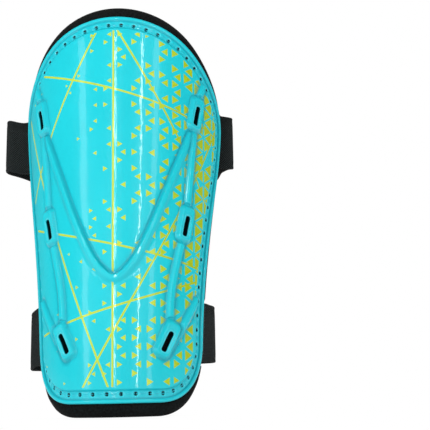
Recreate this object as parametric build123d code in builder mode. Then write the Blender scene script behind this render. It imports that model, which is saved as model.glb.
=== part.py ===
"""Slip-in football shin guard held by two calf straps.

A moulded shell sits on an EVA foam pad that is lined with knitted fabric.
Each calf strap is two lengths of elastic webbing, sewn to the pad's flanks
and joined behind the calf by a hook tab on a loop patch.

Frame: the origin is on the lining's face at mid-height, where the guard
rests on the shin bone.  +Z runs up the shin, -Y is the front, +Y the calf.
All lengths are in millimetres.
"""
import os
from math import atan, cos, radians, sin, tan

from build123d import *

# ---- moulded shell -------------------------------------------------------
SHELL_HEIGHT = 210.0         # along the shin
SHELL_WALL = 2.6
MID_RADIUS = 55.9            # of the outer face, at mid-height
TAPER = 0.083                # radius gained per millimetre of height
TOP_HALF_WIDTH = 74.6        # from the front line to the edge, along the surface
WIDEST_Z = 47.0
LOW_HALF_WIDTH = 55.6
LOW_CORNER_RADIUS = 30.0

BEAD_WIDTH = 2.1             # raised lip round the edge
FLANGE_WIDTH = 7.0           # edge to the foot of the raised panel
FLANGE_DROP = 1.1            # channel floor below the panel face

STITCH_INSET = 4.7           # seam in from the shell's edge
STITCH_PITCH = 7.6
STITCH_HOLE = 1.3            # diameter
STITCH_FUNNEL = 3.2          # diameter of the dimple round each hole
FUNNEL_LIFT = 0.1            # the funnels' rims stand clear of the curved floor
THREAD_WIDTH = 0.8
THREAD_HEIGHT = 0.35

RIB_WIDTH = 4.6
RIB_HEIGHT = 1.3
BOSS_WIDTH = 11.0
BOSS_LENGTH = 21.0
BOSS_CORNER = 3.5
BOSS_HEIGHT = 1.5
SCOOP_WIDTH = 6.4
SCOOP_LENGTH = 16.5
SCOOP_CORNER = 2.6
SCOOP_DEPTH = 1.2            # below the panel face, where the slot is
SLOT_WIDTH = 2.4
SLOT_LENGTH = 11.0
SLOT_CORNER = 1.1
SLOT_DROP = 1.4              # slot's centre below its boss's centre

# Right-hand half of each rib's centre line, as (distance round the arch,
# height), and each boss's centre with its lean in degrees.
U_RIB = [(44.0, 40.0), (31.8, 13.5), (24.5, -3.8), (15.5, -23.0), (6.5, -36.5), (0.0, -40.5), (-6.5, -36.5)]
SIDE_RIBS = [
    [(47.0, 43.0), (44.0, 16.5), (42.0, -2.0)],
    [(38.5, -19.0), (33.5, -37.0), (30.8, -52.0), (30.2, -66.0)],
    [(50.5, 61.0), (52.5, 66.0), (55.5, 71.5)],
    [(48.5, -52.0), (38.5, -66.0), (27.5, -81.0)],
]
BOSSES = [(48.6, 52.9, -12.0), (40.7, -10.6, -12.5), (28.9, -72.8, -27.0)]

# ---- pad -----------------------------------------------------------------
PAD_THICKNESS = 6.0
LINING_THICKNESS = 1.0
PAD_MARGIN = 7.0             # pad beyond the shell's edge

# ---- calf straps ---------------------------------------------------------
STRAP_WIDTH = 32.0
STRAP_THICKNESS = 1.6
STRAP_TUCK = 13.0            # sewn end, in from the pad's edge and under the shell
STRAP_GAP = 0.3              # free webbing to the pad's edge, at the fold
OVERLAP = 46.0               # of the two webbing ends behind the calf
UPPER_STRAP_Z = 45.0
UPPER_BEND_X = 38.0          # where the webbing turns to pass behind the calf
UPPER_REACH = 55.0           # pad's edge to the rear of the calf
UPPER_RIGHT_RUN = (37.0, 0.0, 24.0)   # pad's edge to the first bend, outward flare in degrees, bend radius
UPPER_LEFT_RUN = (39.0, 45.0, 16.0)
LOWER_STRAP_Z = -68.0
LOWER_BEND_X = 31.0
LOWER_REACH = 48.0
LOWER_RIGHT_RUN = (27.0, 0.0, 24.0)
LOWER_LEFT_RUN = (28.0, 20.0, 16.0)

TAB_LENGTH = 38.0
TAB_WIDTH = 27.0
TAB_THICKNESS = 1.2
TAB_GAP = 0.3                # hooks to loops
TAB_STITCH_INSET = 2.0
SEAM_ROWS = 3
SEAM_ROW_PITCH = 1.9
SEAM_STITCH = 2.4            # length of one stitch on the webbing
SEAM_STITCH_PITCH = 3.4

SEAT_GAP = 0.02              # flat stitches to the arched webbing under them

# ---- worked out ----------------------------------------------------------
FRONT_Y = -(SHELL_WALL + PAD_THICKNESS + LINING_THICKNESS)
PAD_BACK = SHELL_WALL + PAD_THICKNESS
SHELL_TOP = SHELL_HEIGHT / 2
REACH = 14.0                 # cutting tools run this far past what they cut
TOOL_LENGTH = 90.0           # from the arch's axis out through the shell
WRAP = 100.0                 # degrees round the arch that a layer is made
LEAN = atan(TAPER)
ARCH_AXIS = Axis((0, FRONT_Y + MID_RADIUS, 0), (0, sin(LEAN), cos(LEAN)))
EDGE_TURN = radians(62)      # the outline is cut square to the arch here
RELIEF_TURN = radians(35)    # and the ribs and bosses here


def radius_at(z):
    """Radius of the shell's outer face at height z."""
    return MID_RADIUS + TAPER * z


def on_arch(s, z, depth=0.0):
    """Point at distance s round the arch from its front line, below the outer face."""
    turn = s / radius_at(z)
    swell = 1 + (1 / cos(LEAN) - 1) * (1 - cos(turn)) ** 2  # a leaning cone is oval when cut level
    reach = (radius_at(z) - depth) * swell
    return reach * sin(turn), FRONT_Y + radius_at(z) - reach * cos(turn), z


def tool_plane(turn):
    """Upright plane through the arch's axis that faces out at an angle from the front."""
    return Plane((0, FRONT_Y + MID_RADIUS, 0), x_dir=(cos(turn), sin(turn), 0), z_dir=(sin(turn), -cos(turn), 0))


def seen(spot, turn):
    """A flat-pattern spot of the outer face, as it stands on a tool plane."""
    s, z = spot
    return TAPER * z * sin(turn) + radius_at(z) * sin(s / radius_at(z) - turn), z


def half_outline():
    """Right half of the shell's flat pattern, from the top of the front line down."""
    low = LOW_CORNER_RADIUS - SHELL_TOP
    crown = SHELL_TOP - WIDEST_Z
    spread = TOP_HALF_WIDTH - LOW_HALF_WIDTH
    with BuildLine(mode=Mode.PRIVATE) as line:
        Spline(
            (0, SHELL_TOP),
            (0.457 * TOP_HALF_WIDTH, SHELL_TOP - 0.145 * crown),
            (0.786 * TOP_HALF_WIDTH, SHELL_TOP - 0.485 * crown),
            (TOP_HALF_WIDTH, WIDEST_Z),
            tangents=[(1, 0), (0, -1)],
        )
        Spline(
            (TOP_HALF_WIDTH, WIDEST_Z),
            (LOW_HALF_WIDTH + 0.49 * spread, WIDEST_Z - 0.406 * (WIDEST_Z - low)),
            (LOW_HALF_WIDTH, low),
            tangents=[(0, -1), (0, -1)],
        )
        corner = CenterArc((LOW_HALF_WIDTH - LOW_CORNER_RADIUS, low), LOW_CORNER_RADIUS, 0, -90)
        Line(corner @ 1, (0, -SHELL_TOP))
    return line.wires()[0]


OUTLINE = half_outline()


def beside(route, share, shift):
    """Flat spot beside a route, to the right of the way that it runs."""
    spot, way = route @ share, route % share
    return spot.X + shift * way.Y, spot.Y - shift * way.X


def edge_at(z):
    """Distance round the arch from the front line to the shell's edge at height z."""
    high, low = 0.0, 1.0
    for _ in range(30):
        middle = (high + low) / 2
        high, low = (middle, low) if (OUTLINE @ middle).Y > z else (high, middle)
    return (OUTLINE @ high).X


def outline_face(inset):
    """Right half of the outline on its tool plane, moved in from the shell's edge."""
    count = 30
    flat = [beside(OUTLINE, i / count, inset) for i in range(count + 1)]
    flat = [(-flat[1][0], flat[1][1]), *flat, (-flat[-2][0], flat[-2][1])]
    points = [seen(spot, EDGE_TURN) for spot in flat]
    back = min(points[0][0], points[-1][0]) - REACH
    with BuildSketch(tool_plane(EDGE_TURN), mode=Mode.PRIVATE) as face:
        with BuildLine():
            Spline(*points)
            Polyline(points[-1], (back, points[-1][1]), (back, points[0][1]), points[0])
        make_face()
    return face.sketch


def ribbon_face(points, width):
    """A band of even width along a smooth flat centre line."""
    with BuildLine(mode=Mode.PRIVATE) as line:
        Spline(*points)
    route = line.wires()[0]
    steps = [i / 12 for i in range(13)]
    right = [seen(beside(route, share, width / 2), RELIEF_TURN) for share in steps]
    left = [seen(beside(route, share, -width / 2), RELIEF_TURN) for share in reversed(steps)]
    with BuildSketch(tool_plane(RELIEF_TURN), mode=Mode.PRIVATE) as face:
        with BuildLine():
            Spline(*right)
            Line(right[-1], left[0])
            Spline(*left)
            Line(left[-1], right[0])
        make_face()
    return face.sketch


def slot_face(width, length, corner, place, drop=0.0):
    """A rounded slot or boss outline, leaning with its place."""
    s, z, lean = place
    with BuildSketch(tool_plane(RELIEF_TURN), mode=Mode.PRIVATE) as face:
        with Locations(Location((*seen((s, z), RELIEF_TURN), 0), (0, 0, lean))):
            with Locations((0, -drop)):
                RectangleRounded(width, length, corner)
    return face.sketch


def half_layer(outer, inner):
    """Right half of the arch between two depths below the shell's outer face."""
    with BuildPart(mode=Mode.PRIVATE) as layer:
        with BuildSketch(Plane.YZ):
            with Locations((FRONT_Y + (outer + inner) / 2, 0)):
                Rectangle(inner - outer, SHELL_HEIGHT + 2 * (PAD_MARGIN + REACH))
        revolve(axis=ARCH_AXIS, revolution_arc=WRAP)
    return layer.part


def half_plate(outer, inner, inset):
    """Half a layer of the arch, trimmed to the outline."""
    with BuildPart(mode=Mode.PRIVATE) as plate:
        add(half_layer(outer, inner))
        extrude(outline_face(inset), TOOL_LENGTH, mode=Mode.INTERSECT)
    return plate.part


def half_channel():
    """Cutter for the stitching channel, between the lip and the raised panel."""
    with BuildPart(mode=Mode.PRIVATE) as channel:
        add(half_plate(-REACH / 2, FLANGE_DROP, BEAD_WIDTH))
        extrude(outline_face(FLANGE_WIDTH), TOOL_LENGTH, mode=Mode.SUBTRACT)
    return channel.part


def half_relief(face, height):
    """A raised rib or boss of one outline, rooted in the shell's wall."""
    with BuildPart(mode=Mode.PRIVATE) as relief:
        add(half_layer(-height, SHELL_WALL / 2))
        extrude(face, TOOL_LENGTH, mode=Mode.INTERSECT)
    return relief.part


def half_scoop(place):
    """Cutter for the scoop that ramps down to a vent slot, and for the slot."""
    top = place[1] + SCOOP_LENGTH / 2
    foot = place[1] - SCOOP_LENGTH / 2
    with BuildPart(mode=Mode.PRIVATE) as scoop:
        with BuildSketch(Plane.YZ):
            with BuildLine():
                Polyline(
                    (FRONT_Y - REACH, top),
                    (FRONT_Y - BOSS_HEIGHT, top),
                    (FRONT_Y + SCOOP_DEPTH, place[1]),
                    (FRONT_Y + SCOOP_DEPTH, foot),
                    (FRONT_Y - REACH, foot),
                    close=True,
                )
            make_face()
        revolve(axis=ARCH_AXIS, revolution_arc=WRAP)
        extrude(slot_face(SCOOP_WIDTH, SCOOP_LENGTH, SCOOP_CORNER, place), TOOL_LENGTH, mode=Mode.INTERSECT)
        extrude(slot_face(SLOT_WIDTH, SLOT_LENGTH, SLOT_CORNER, place, SLOT_DROP), TOOL_LENGTH)
    return scoop.part


def arch_plane(spot, way, depth):
    """Plane that lies on the arch at a flat spot, with its X along a flat direction."""
    s, z = spot
    turn = s / radius_at(z)
    flare = Vector(sin(turn) - turn * cos(turn), 1 - cos(turn) - turn * sin(turn), 0) * TAPER
    along = Vector(cos(turn), sin(turn), 0) * way[0] + (flare + Vector(0, 0, 1)) * way[1]
    out = Vector(sin(turn), -cos(turn), TAPER * (cos(turn) - 1))
    return Plane(on_arch(s, z, depth), x_dir=along, z_dir=out)


def seam_planes(first, depth):
    """Planes a stitch apart round the right half of the seam, the first a share of a stitch in."""
    count = round(OUTLINE.length / STITCH_PITCH)
    shares = [(first + i) / count for i in range(count + 1)]
    flat = [(beside(OUTLINE, share, STITCH_INSET), OUTLINE % share) for share in shares if share <= 1]
    return [arch_plane(spot, (way.X, way.Y), depth) for spot, way in flat]


def sewn_end(z):
    """Right-hand end of a strap, let into the pad and held under the shell."""
    with BuildPart(mode=Mode.PRIVATE) as end:
        add(half_plate(SHELL_WALL, SHELL_WALL + STRAP_THICKNESS, -PAD_MARGIN))
        extrude(outline_face(STRAP_TUCK - PAD_MARGIN), TOOL_LENGTH, mode=Mode.SUBTRACT)
        with Locations((0, 0, z)):
            Box(4 * MID_RADIUS, 4 * MID_RADIUS, STRAP_WIDTH, mode=Mode.INTERSECT)
    return end.part


def strap_root(z, depth):
    """Plan point where webbing leaves the pad, clear of its edge all the way up, and its heading."""
    levels = [z + share * STRAP_WIDTH / 2 for share in (-1, 0, 1)]
    edges = [on_arch(edge_at(level) + PAD_MARGIN, level, depth) for level in levels]
    heading = (edge_at(z) + PAD_MARGIN) / radius_at(z)
    skew = (SHELL_WALL + STRAP_THICKNESS) * tan(heading - EDGE_TURN) + STRAP_GAP
    ahead = max(x * cos(heading) + y * sin(heading) for x, y, _ in edges) + skew
    beside_x, beside_y, _ = edges[1]
    across = beside_x * sin(heading) - beside_y * cos(heading)
    return (ahead * cos(heading) + across * sin(heading), ahead * sin(heading) - across * cos(heading)), heading


def webbing(z, run, bend_x, rear_y):
    """Half of a calf strap as for the right, from the pad's edge round behind the calf."""
    length, flare, radius = run
    start, heading = strap_root(z, SHELL_WALL)
    heading -= radians(flare)
    bend = (start[0] + length * cos(heading), start[1] + length * sin(heading))
    with BuildPart(mode=Mode.PRIVATE) as strap:
        with BuildSketch(Plane.XY.offset(z - STRAP_WIDTH / 2)):
            with BuildLine():
                route = FilletPolyline(start, bend, (bend_x, rear_y), (-OVERLAP / 2, rear_y), radius=radius)
                offset(route, STRAP_THICKNESS, side=Side.LEFT)
            make_face()
        extrude(amount=STRAP_WIDTH)
    return strap.part


def rear_patch(z, face_y):
    """A rounded tab on the webbing behind the calf, with its rear face at face_y."""
    with BuildPart(mode=Mode.PRIVATE) as patch:
        with BuildSketch(Plane.XZ.offset(-face_y)):
            with Locations((0, z)):
                RectangleRounded(TAB_LENGTH, TAB_WIDTH, 2 * TAB_STITCH_INSET)
        extrude(amount=TAB_THICKNESS)
    return patch.part


def box_stitches(z, face_y):
    """A rectangle of stitches that stands on a rear face towards +Y."""
    length = TAB_LENGTH - 2 * TAB_STITCH_INSET
    width = TAB_WIDTH - 2 * TAB_STITCH_INSET
    across = round(length / SEAM_STITCH_PITCH)
    up = round(width / SEAM_STITCH_PITCH)
    with BuildPart(mode=Mode.PRIVATE) as seam:
        with Locations((0, face_y + THREAD_HEIGHT / 2, z)):
            with GridLocations(length / across, 0, across, 1):
                with Locations((0, 0, -width / 2), (0, 0, width / 2)):
                    Box(SEAM_STITCH, THREAD_HEIGHT, THREAD_WIDTH)
            for step in range(up):
                height = (step + 0.5) * width / up - width / 2
                with Locations((-length / 2, 0, height), (length / 2, 0, height)):
                    Box(THREAD_WIDTH, THREAD_HEIGHT, SEAM_STITCH)
    return seam.part


def end_stitches(z):
    """Rows of stitches that hold a strap's end to the pad's bare margin, on the right."""
    per_row = int((STRAP_WIDTH - SEAM_STITCH) / SEAM_STITCH_PITCH) + 1
    planes = []
    for row in range(SEAM_ROWS):
        across = PAD_MARGIN / 2 + (row - (SEAM_ROWS - 1) / 2) * SEAM_ROW_PITCH
        for stitch in range(per_row):
            height = z + (stitch - (per_row - 1) / 2) * SEAM_STITCH_PITCH
            planes.append(arch_plane((edge_at(height) + across, height), (0, 1), SHELL_WALL - SEAT_GAP))
    with BuildPart(mode=Mode.PRIVATE) as seam:
        with Locations(*planes):
            Box(SEAM_STITCH, THREAD_WIDTH, THREAD_HEIGHT, align=(Align.CENTER, Align.CENTER, Align.MIN))
    return seam.part


os.makedirs("parts", exist_ok=True)

# ---- shell: plate, channel, ribs, bosses, scoops and stitch holes --------
with BuildPart() as shell:
    add(half_plate(0, SHELL_WALL, 0))
    add(half_channel(), mode=Mode.SUBTRACT)
    for centre_line in [U_RIB, *SIDE_RIBS]:
        add(half_relief(ribbon_face(centre_line, RIB_WIDTH), RIB_HEIGHT))
    for place in BOSSES:
        add(half_relief(slot_face(BOSS_WIDTH, BOSS_LENGTH, BOSS_CORNER, place), BOSS_HEIGHT))
    for place in BOSSES:
        add(half_scoop(place), mode=Mode.SUBTRACT)
    with Locations(*seam_planes(0.5, FLANGE_DROP - FUNNEL_LIFT)):
        CounterSinkHole(STITCH_HOLE / 2, STITCH_FUNNEL / 2, depth=SHELL_WALL)
    mirror(about=Plane.YZ)
shell.part.label = "shell"
export_step(shell.part, "parts/shell.step")

with BuildPart() as perimeter_stitching:
    with Locations(*seam_planes(0, FLANGE_DROP)):
        Box(
            STITCH_PITCH - STITCH_FUNNEL - THREAD_WIDTH,
            THREAD_WIDTH,
            THREAD_HEIGHT,
            align=(Align.CENTER, Align.CENTER, Align.MIN),
        )
    mirror(about=Plane.YZ)
perimeter_stitching.part.label = "perimeter_stitching"
export_step(perimeter_stitching.part, "parts/perimeter_stitching.step")

# ---- pad, let in for the strap ends, and its lining ----------------------
with BuildPart() as foam_pad:
    add(half_plate(SHELL_WALL, PAD_BACK, -PAD_MARGIN))
    for height in (UPPER_STRAP_Z, LOWER_STRAP_Z):
        add(sewn_end(height), mode=Mode.SUBTRACT)
    mirror(about=Plane.YZ)
foam_pad.part.label = "foam_pad"
export_step(foam_pad.part, "parts/foam_pad.step")

with BuildPart() as lining:
    add(half_plate(PAD_BACK, PAD_BACK + LINING_THICKNESS, -PAD_MARGIN))
    mirror(about=Plane.YZ)
lining.part.label = "lining"
export_step(lining.part, "parts/lining.step")

# ---- calf straps ---------------------------------------------------------
LEVELS = {
    "upper": (UPPER_STRAP_Z, UPPER_RIGHT_RUN, UPPER_LEFT_RUN, UPPER_BEND_X, UPPER_REACH),
    "lower": (LOWER_STRAP_Z, LOWER_RIGHT_RUN, LOWER_LEFT_RUN, LOWER_BEND_X, LOWER_REACH),
}
for level, (height, right_run, left_run, bend_at, reach) in LEVELS.items():
    (outer_x, outer_y), _ = strap_root(height, SHELL_WALL)
    (inner_x, inner_y), _ = strap_root(height, SHELL_WALL + STRAP_THICKNESS)
    rear = outer_y + reach
    with BuildPart() as right_end:
        add(sewn_end(height))
    right_end.part.label = f"{level}_right_strap_end"
    export_step(right_end.part, f"parts/{level}_right_strap_end.step")

    with BuildPart() as left_end:
        mirror(sewn_end(height), about=Plane.YZ)
    left_end.part.label = f"{level}_left_strap_end"
    export_step(left_end.part, f"parts/{level}_left_strap_end.step")

    with BuildPart() as end_seams:
        add(end_stitches(height))
        mirror(about=Plane.YZ)
    end_seams.part.label = f"{level}_end_stitching"
    export_step(end_seams.part, f"parts/{level}_end_stitching.step")

    with BuildPart() as right_strap:
        add(webbing(height, right_run, bend_at, rear))
    right_strap.part.label = f"{level}_right_strap"
    export_step(right_strap.part, f"parts/{level}_right_strap.step")

    hook_y = rear - STRAP_THICKNESS
    with BuildPart() as hook_tab:
        add(rear_patch(height, hook_y))
    hook_tab.part.label = f"{level}_hook_tab"
    export_step(hook_tab.part, f"parts/{level}_hook_tab.step")

    with BuildPart() as tab_seam:
        add(box_stitches(height, rear))
    tab_seam.part.label = f"{level}_tab_stitching"
    export_step(tab_seam.part, f"parts/{level}_tab_stitching.step")

    loop_y = hook_y - TAB_THICKNESS - TAB_GAP
    with BuildPart() as loop_patch:
        add(rear_patch(height, loop_y))
    loop_patch.part.label = f"{level}_loop_patch"
    export_step(loop_patch.part, f"parts/{level}_loop_patch.step")

    with BuildPart() as left_strap:
        mirror(webbing(height, left_run, bend_at, loop_y - TAB_THICKNESS), about=Plane.YZ)
    left_strap.part.label = f"{level}_left_strap"
    export_step(left_strap.part, f"parts/{level}_left_strap.step")

    print(f"{level} right fold x {outer_x:.2f} y {outer_y:.2f}, left fold x {-inner_x:.2f} y {inner_y:.2f}")
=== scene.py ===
"""Looks of a slip-in shin guard: a moulded shell on a lined foam pad, with two webbing calf straps.

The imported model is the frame, and every piece here is built on it in the same place.
Lengths are millimetres throughout, and become metres only where a mesh is made.
A place on the arched guard is (s, z): s runs round the arch from the front line, z runs up the shin.
"""
import logging
import math
from dataclasses import dataclass, field
from enum import Enum

import bpy
import numpy as np
from mathutils import Matrix, Vector
from mathutils.geometry import delaunay_2d_cdt


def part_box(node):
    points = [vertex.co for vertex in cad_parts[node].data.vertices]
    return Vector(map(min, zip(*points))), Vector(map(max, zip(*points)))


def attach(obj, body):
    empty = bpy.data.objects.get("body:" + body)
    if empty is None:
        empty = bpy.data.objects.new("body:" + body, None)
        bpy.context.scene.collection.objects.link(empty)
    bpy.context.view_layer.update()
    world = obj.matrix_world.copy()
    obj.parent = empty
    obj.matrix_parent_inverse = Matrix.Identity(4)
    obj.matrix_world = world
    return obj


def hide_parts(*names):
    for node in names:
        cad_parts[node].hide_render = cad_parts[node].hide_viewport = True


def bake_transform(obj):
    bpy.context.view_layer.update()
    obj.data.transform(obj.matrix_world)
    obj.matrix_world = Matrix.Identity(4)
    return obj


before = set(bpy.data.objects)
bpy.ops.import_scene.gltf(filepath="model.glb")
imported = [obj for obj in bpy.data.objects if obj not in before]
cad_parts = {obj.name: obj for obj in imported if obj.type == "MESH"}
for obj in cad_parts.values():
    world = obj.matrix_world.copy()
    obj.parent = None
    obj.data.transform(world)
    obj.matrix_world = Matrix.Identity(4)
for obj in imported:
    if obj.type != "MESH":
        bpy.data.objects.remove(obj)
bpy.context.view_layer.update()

logging.basicConfig(level=logging.INFO, format="%(name)s: %(message)s")
LOG = logging.getLogger("shin_guard")

MM = 0.001
FAR = 1e9
QUARTER = math.pi / 2
Points = np.ndarray
Material = bpy.types.Material
Object = bpy.types.Object
Tree = bpy.types.NodeTree
Pair = tuple[float, float]
Triple = tuple[float, float, float]
Ramp = tuple[float, float, float, float]


# ---------------------------------------------------------------- small tools
def smooth(low: float, high: float, value: Points) -> Points:
    """Ramp from 0 at low to 1 at high with level ends."""
    share = np.clip((value - low) / (high - low), 0, 1)
    return share * share * (3 - 2 * share)


def hump(centre: float, width: float, value: Points) -> Points:
    """Soft bump that is 1 at the centre and dies out over the width."""
    return np.exp(-(((value - centre) / width) ** 2))


def unit(ways: Points) -> Points:
    """Scale vectors to a length of 1 and return them."""
    return ways / np.linalg.norm(ways, axis=-1, keepdims=True)


def beside(ways: Points) -> Points:
    """Turn flat vectors a quarter turn to their right and return them."""
    return np.stack([ways[:, 1], -ways[:, 0]], axis=-1)


def circle(turns: Points) -> Points:
    """Points of a circle of radius 1 at the given angles, in radians."""
    return np.stack([np.cos(turns), np.sin(turns)], axis=-1)


def to_right(spots: Points) -> Points:
    """Mirror the flat spots of the left side to the right side and return them all."""
    return np.abs(spots * (1, 0)) + spots * (0, 1)


def run_along(line: Points) -> Points:
    """Distance along a line at which each of its points lies."""
    return np.concatenate([[0], np.cumsum(np.linalg.norm(np.diff(line, axis=0), axis=1))])


def rounded_corners(width: float, height: float, corner: float) -> Points:
    """Outline of a rounded rectangle about the origin, with seven points on each corner.

    Args:
        width: Size along the first axis.
        height: Size along the second axis.
        corner: Radius of the corners.

    Returns:
        Points in anticlockwise order.
    """
    arcs = []
    for index, (x, y) in enumerate([(1, 1), (-1, 1), (-1, -1), (1, -1)]):
        arc = circle(np.linspace(0, QUARTER, 7) + index * QUARTER)
        arcs.append((x * (width / 2 - corner), y * (height / 2 - corner)) + corner * arc)
    return np.vstack(arcs)


def round_corner(before: Points, corner: Points, after: Points, radius: float) -> Points:
    """Find the arc that rounds one corner of a flat path.

    Args:
        before: Corner before this one.
        corner: Corner to round.
        after: Corner after this one.
        radius: Radius of the arc.

    Returns:
        Points along the arc.
    """
    a, b = unit(before - corner), unit(after - corner)
    half_angle = math.acos(float(np.clip(a @ b, -1, 1))) / 2
    middle = corner + unit(a + b) * radius / math.sin(half_angle)
    first, last = (corner + way * radius / math.tan(half_angle) - middle for way in (a, b))
    turned = math.atan2(first[0] * last[1] - first[1] * last[0], first @ last)
    cos, sin = circle(np.linspace(0, turned, 16)).T
    return middle + np.outer(cos, first) + np.outer(sin, (-first[1], first[0]))


def curve_through(
    points: Points, start: Points | None = None, end: Points | None = None, pitch: float = 0.6
) -> Points:
    """Sample a smooth cubic curve through flat points.

    Args:
        points: Points that the curve passes.
        start: Way that it leaves the first point, or None for a free end.
        end: Way that it reaches the last point, or None for a free end.
        pitch: Distance between samples.

    Returns:
        Samples along the curve, the last point included.
    """
    points = np.asarray(points, float)
    gaps = np.linalg.norm(np.diff(points, axis=0), axis=1)
    slopes = np.diff(points, axis=0) / gaps[:, None]
    count = len(points)
    matrix = np.zeros((count, count))
    right = np.zeros((count, 2))
    for i in range(1, count - 1):
        matrix[i, i - 1 : i + 2] = gaps[i], 2 * (gaps[i - 1] + gaps[i]), gaps[i - 1]
        right[i] = 3 * (gaps[i] * slopes[i - 1] + gaps[i - 1] * slopes[i])
    for row, near, way, slope in ((0, 1, start, slopes[0]), (count - 1, count - 2, end, slopes[-1])):
        matrix[row, row] = 1 if way is not None else 2
        matrix[row, near] = 0 if way is not None else 1
        right[row] = way if way is not None else 3 * slope
    ways = np.linalg.solve(matrix, right)
    samples = []
    for i, gap in enumerate(gaps):
        t = np.linspace(0, 1, max(2, round(gap / pitch)), endpoint=False)[:, None]
        samples.append(
            (1 + 2 * t) * (1 - t) ** 2 * points[i]
            + t * (1 - t) ** 2 * gap * ways[i]
            + t * t * (3 - 2 * t) * points[i + 1]
            + t * t * (t - 1) * gap * ways[i + 1]
        )
    return np.vstack([*samples, points[-1:]])


def walk(line: Points, pitch: float, closed: bool = False) -> Points:
    """Space points evenly along a line.

    Args:
        line: Points of the line.
        pitch: Wanted distance between points, adjusted to fit a whole number of times.
        closed: Whether the last point joins the first.

    Returns:
        Evenly spaced points; a closed line has no repeated point.
    """
    if closed:
        line = np.vstack([line, line[:1]])
    run = run_along(line)
    steps = max(3, round(run[-1] / pitch))
    at = np.linspace(0, run[-1], steps + 1)
    if closed:
        at = at[:-1]
    return np.stack([np.interp(at, run, line[:, axis]) for axis in range(line.shape[1])], axis=-1)


def distance_to(line: Points, spots: Points) -> Points:
    """Shortest distance from each spot to a line.

    Args:
        line: Points of the line, in order.
        spots: Spots to measure from.

    Returns:
        One distance for each spot.
    """
    best = np.full(len(spots), FAR)
    for a, b in zip(line[:-1], line[1:]):
        ab = b - a
        t = np.clip(((spots - a) @ ab) / max(ab @ ab, 1e-12), 0, 1)
        best = np.minimum(best, np.linalg.norm(spots - a - t[:, None] * ab, axis=1))
    return best


def side_of(line: Points, spots: Points) -> Points:
    """Tell on which side of a line each spot lies.

    Args:
        line: Points of the line, in order.
        spots: Spots to test.

    Returns:
        1 to the left of the line as it runs, -1 to its right.
    """
    middles = (line[1:] + line[:-1]) / 2
    ways = line[1:] - line[:-1]
    nearest = np.argmin(((spots[:, None] - middles[None]) ** 2).sum(axis=-1), axis=1)
    gap, way = spots - middles[nearest], ways[nearest]
    return np.where(way[:, 0] * gap[:, 1] - way[:, 1] * gap[:, 0] > 0, 1.0, -1.0)


def inside(loop: Points, spots: Points) -> Points:
    """Tell which spots lie inside a closed flat loop.

    Args:
        loop: Corners of the loop, in order.
        spots: Spots to test.

    Returns:
        True for each spot that lies inside.
    """
    hit = np.zeros(len(spots), bool)
    for a, b in zip(loop, np.roll(loop, -1, axis=0)):
        crosses = (a[1] > spots[:, 1]) != (b[1] > spots[:, 1])
        where = a[0] + (spots[:, 1] - a[1]) / ((b[1] - a[1]) or 1e-12) * (b[0] - a[0])
        hit ^= crosses & (spots[:, 0] < where)
    return hit


def lattice(low: Points, high: Points, pitch: float) -> Points:
    """Points of a triangular lattice that fills a flat box.

    Args:
        low: Lowest corner of the box.
        high: Highest corner of the box.
        pitch: Distance between neighbours.

    Returns:
        The lattice's points.
    """
    columns = np.arange(low[0], high[0], pitch)
    rows = []
    for index, level in enumerate(np.arange(low[1], high[1], pitch * math.sqrt(0.75))):
        rows.append(np.stack([columns + (index % 2) * pitch / 2, np.full(len(columns), level)], axis=-1))
    return np.vstack(rows)


def triangulate(loops: list[Points], spots: Points) -> tuple[Points, Points, list[Points]]:
    """Fill a flat outline with triangles that keep to its loops.

    Args:
        loops: The outline first, then the loops of its holes.
        spots: More points for the filling.

    Returns:
        The points, the triangles, and for each loop the numbers of its points.
    """
    edges = []
    first = 0
    for loop in loops:
        count = len(loop)
        edges += [(first + i, first + (i + 1) % count) for i in range(count)]
        first += count
    made = delaunay_2d_cdt([Vector(p) for p in np.vstack([*loops, spots])], edges, [], 0, 1e-6, True)
    flat = np.array([tuple(v) for v in made[0]])
    triangles = np.array(made[2])
    centres = flat[triangles].mean(axis=1)
    keep = inside(loops[0], centres)
    for hole in loops[1:]:
        low, high = hole.min(axis=0), hole.max(axis=0)
        near = np.flatnonzero(((centres > low) & (centres < high)).all(axis=1))
        keep[near[inside(hole, centres[near])]] = False
    triangles = triangles[keep]
    a, b, c = (flat[triangles[:, i]] for i in range(3))
    turned = (b[:, 0] - a[:, 0]) * (c[:, 1] - a[:, 1]) < (b[:, 1] - a[:, 1]) * (c[:, 0] - a[:, 0])
    triangles[turned] = triangles[turned][:, ::-1]
    place = {given: index for index, merged in enumerate(made[3]) for given in merged}
    numbers, first = [], 0
    for loop in loops:
        numbers.append(np.array([place[first + i] for i in range(len(loop))]))
        first += len(loop)
    return flat, triangles, numbers


def show(name: str, mesh: bpy.types.Mesh) -> Object:
    """Put a smooth-shaded mesh into the scene at the origin.

    Args:
        name: Name of the object.
        mesh: Its mesh.

    Returns:
        The new object.
    """
    mesh.polygons.foreach_set("use_smooth", np.ones(len(mesh.polygons), bool))
    obj = bpy.data.objects.new(name, mesh)
    bpy.context.scene.collection.objects.link(obj)
    return obj


def make_object(name: str, points: Points, faces: list, material: Material) -> Object:
    """Make a mesh object at the origin.

    Args:
        name: Name of the object and its mesh.
        points: Corners in millimetres.
        faces: Corner numbers of each face.
        material: What it is made of.

    Returns:
        The new object.
    """
    mesh = bpy.data.meshes.new(name)
    corners = [tuple(int(i) for i in face) for face in faces]
    mesh.from_pydata((np.asarray(points) * MM).tolist(), [], corners)
    mesh.validate()
    mesh.materials.append(material)
    return show(name, mesh)


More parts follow.
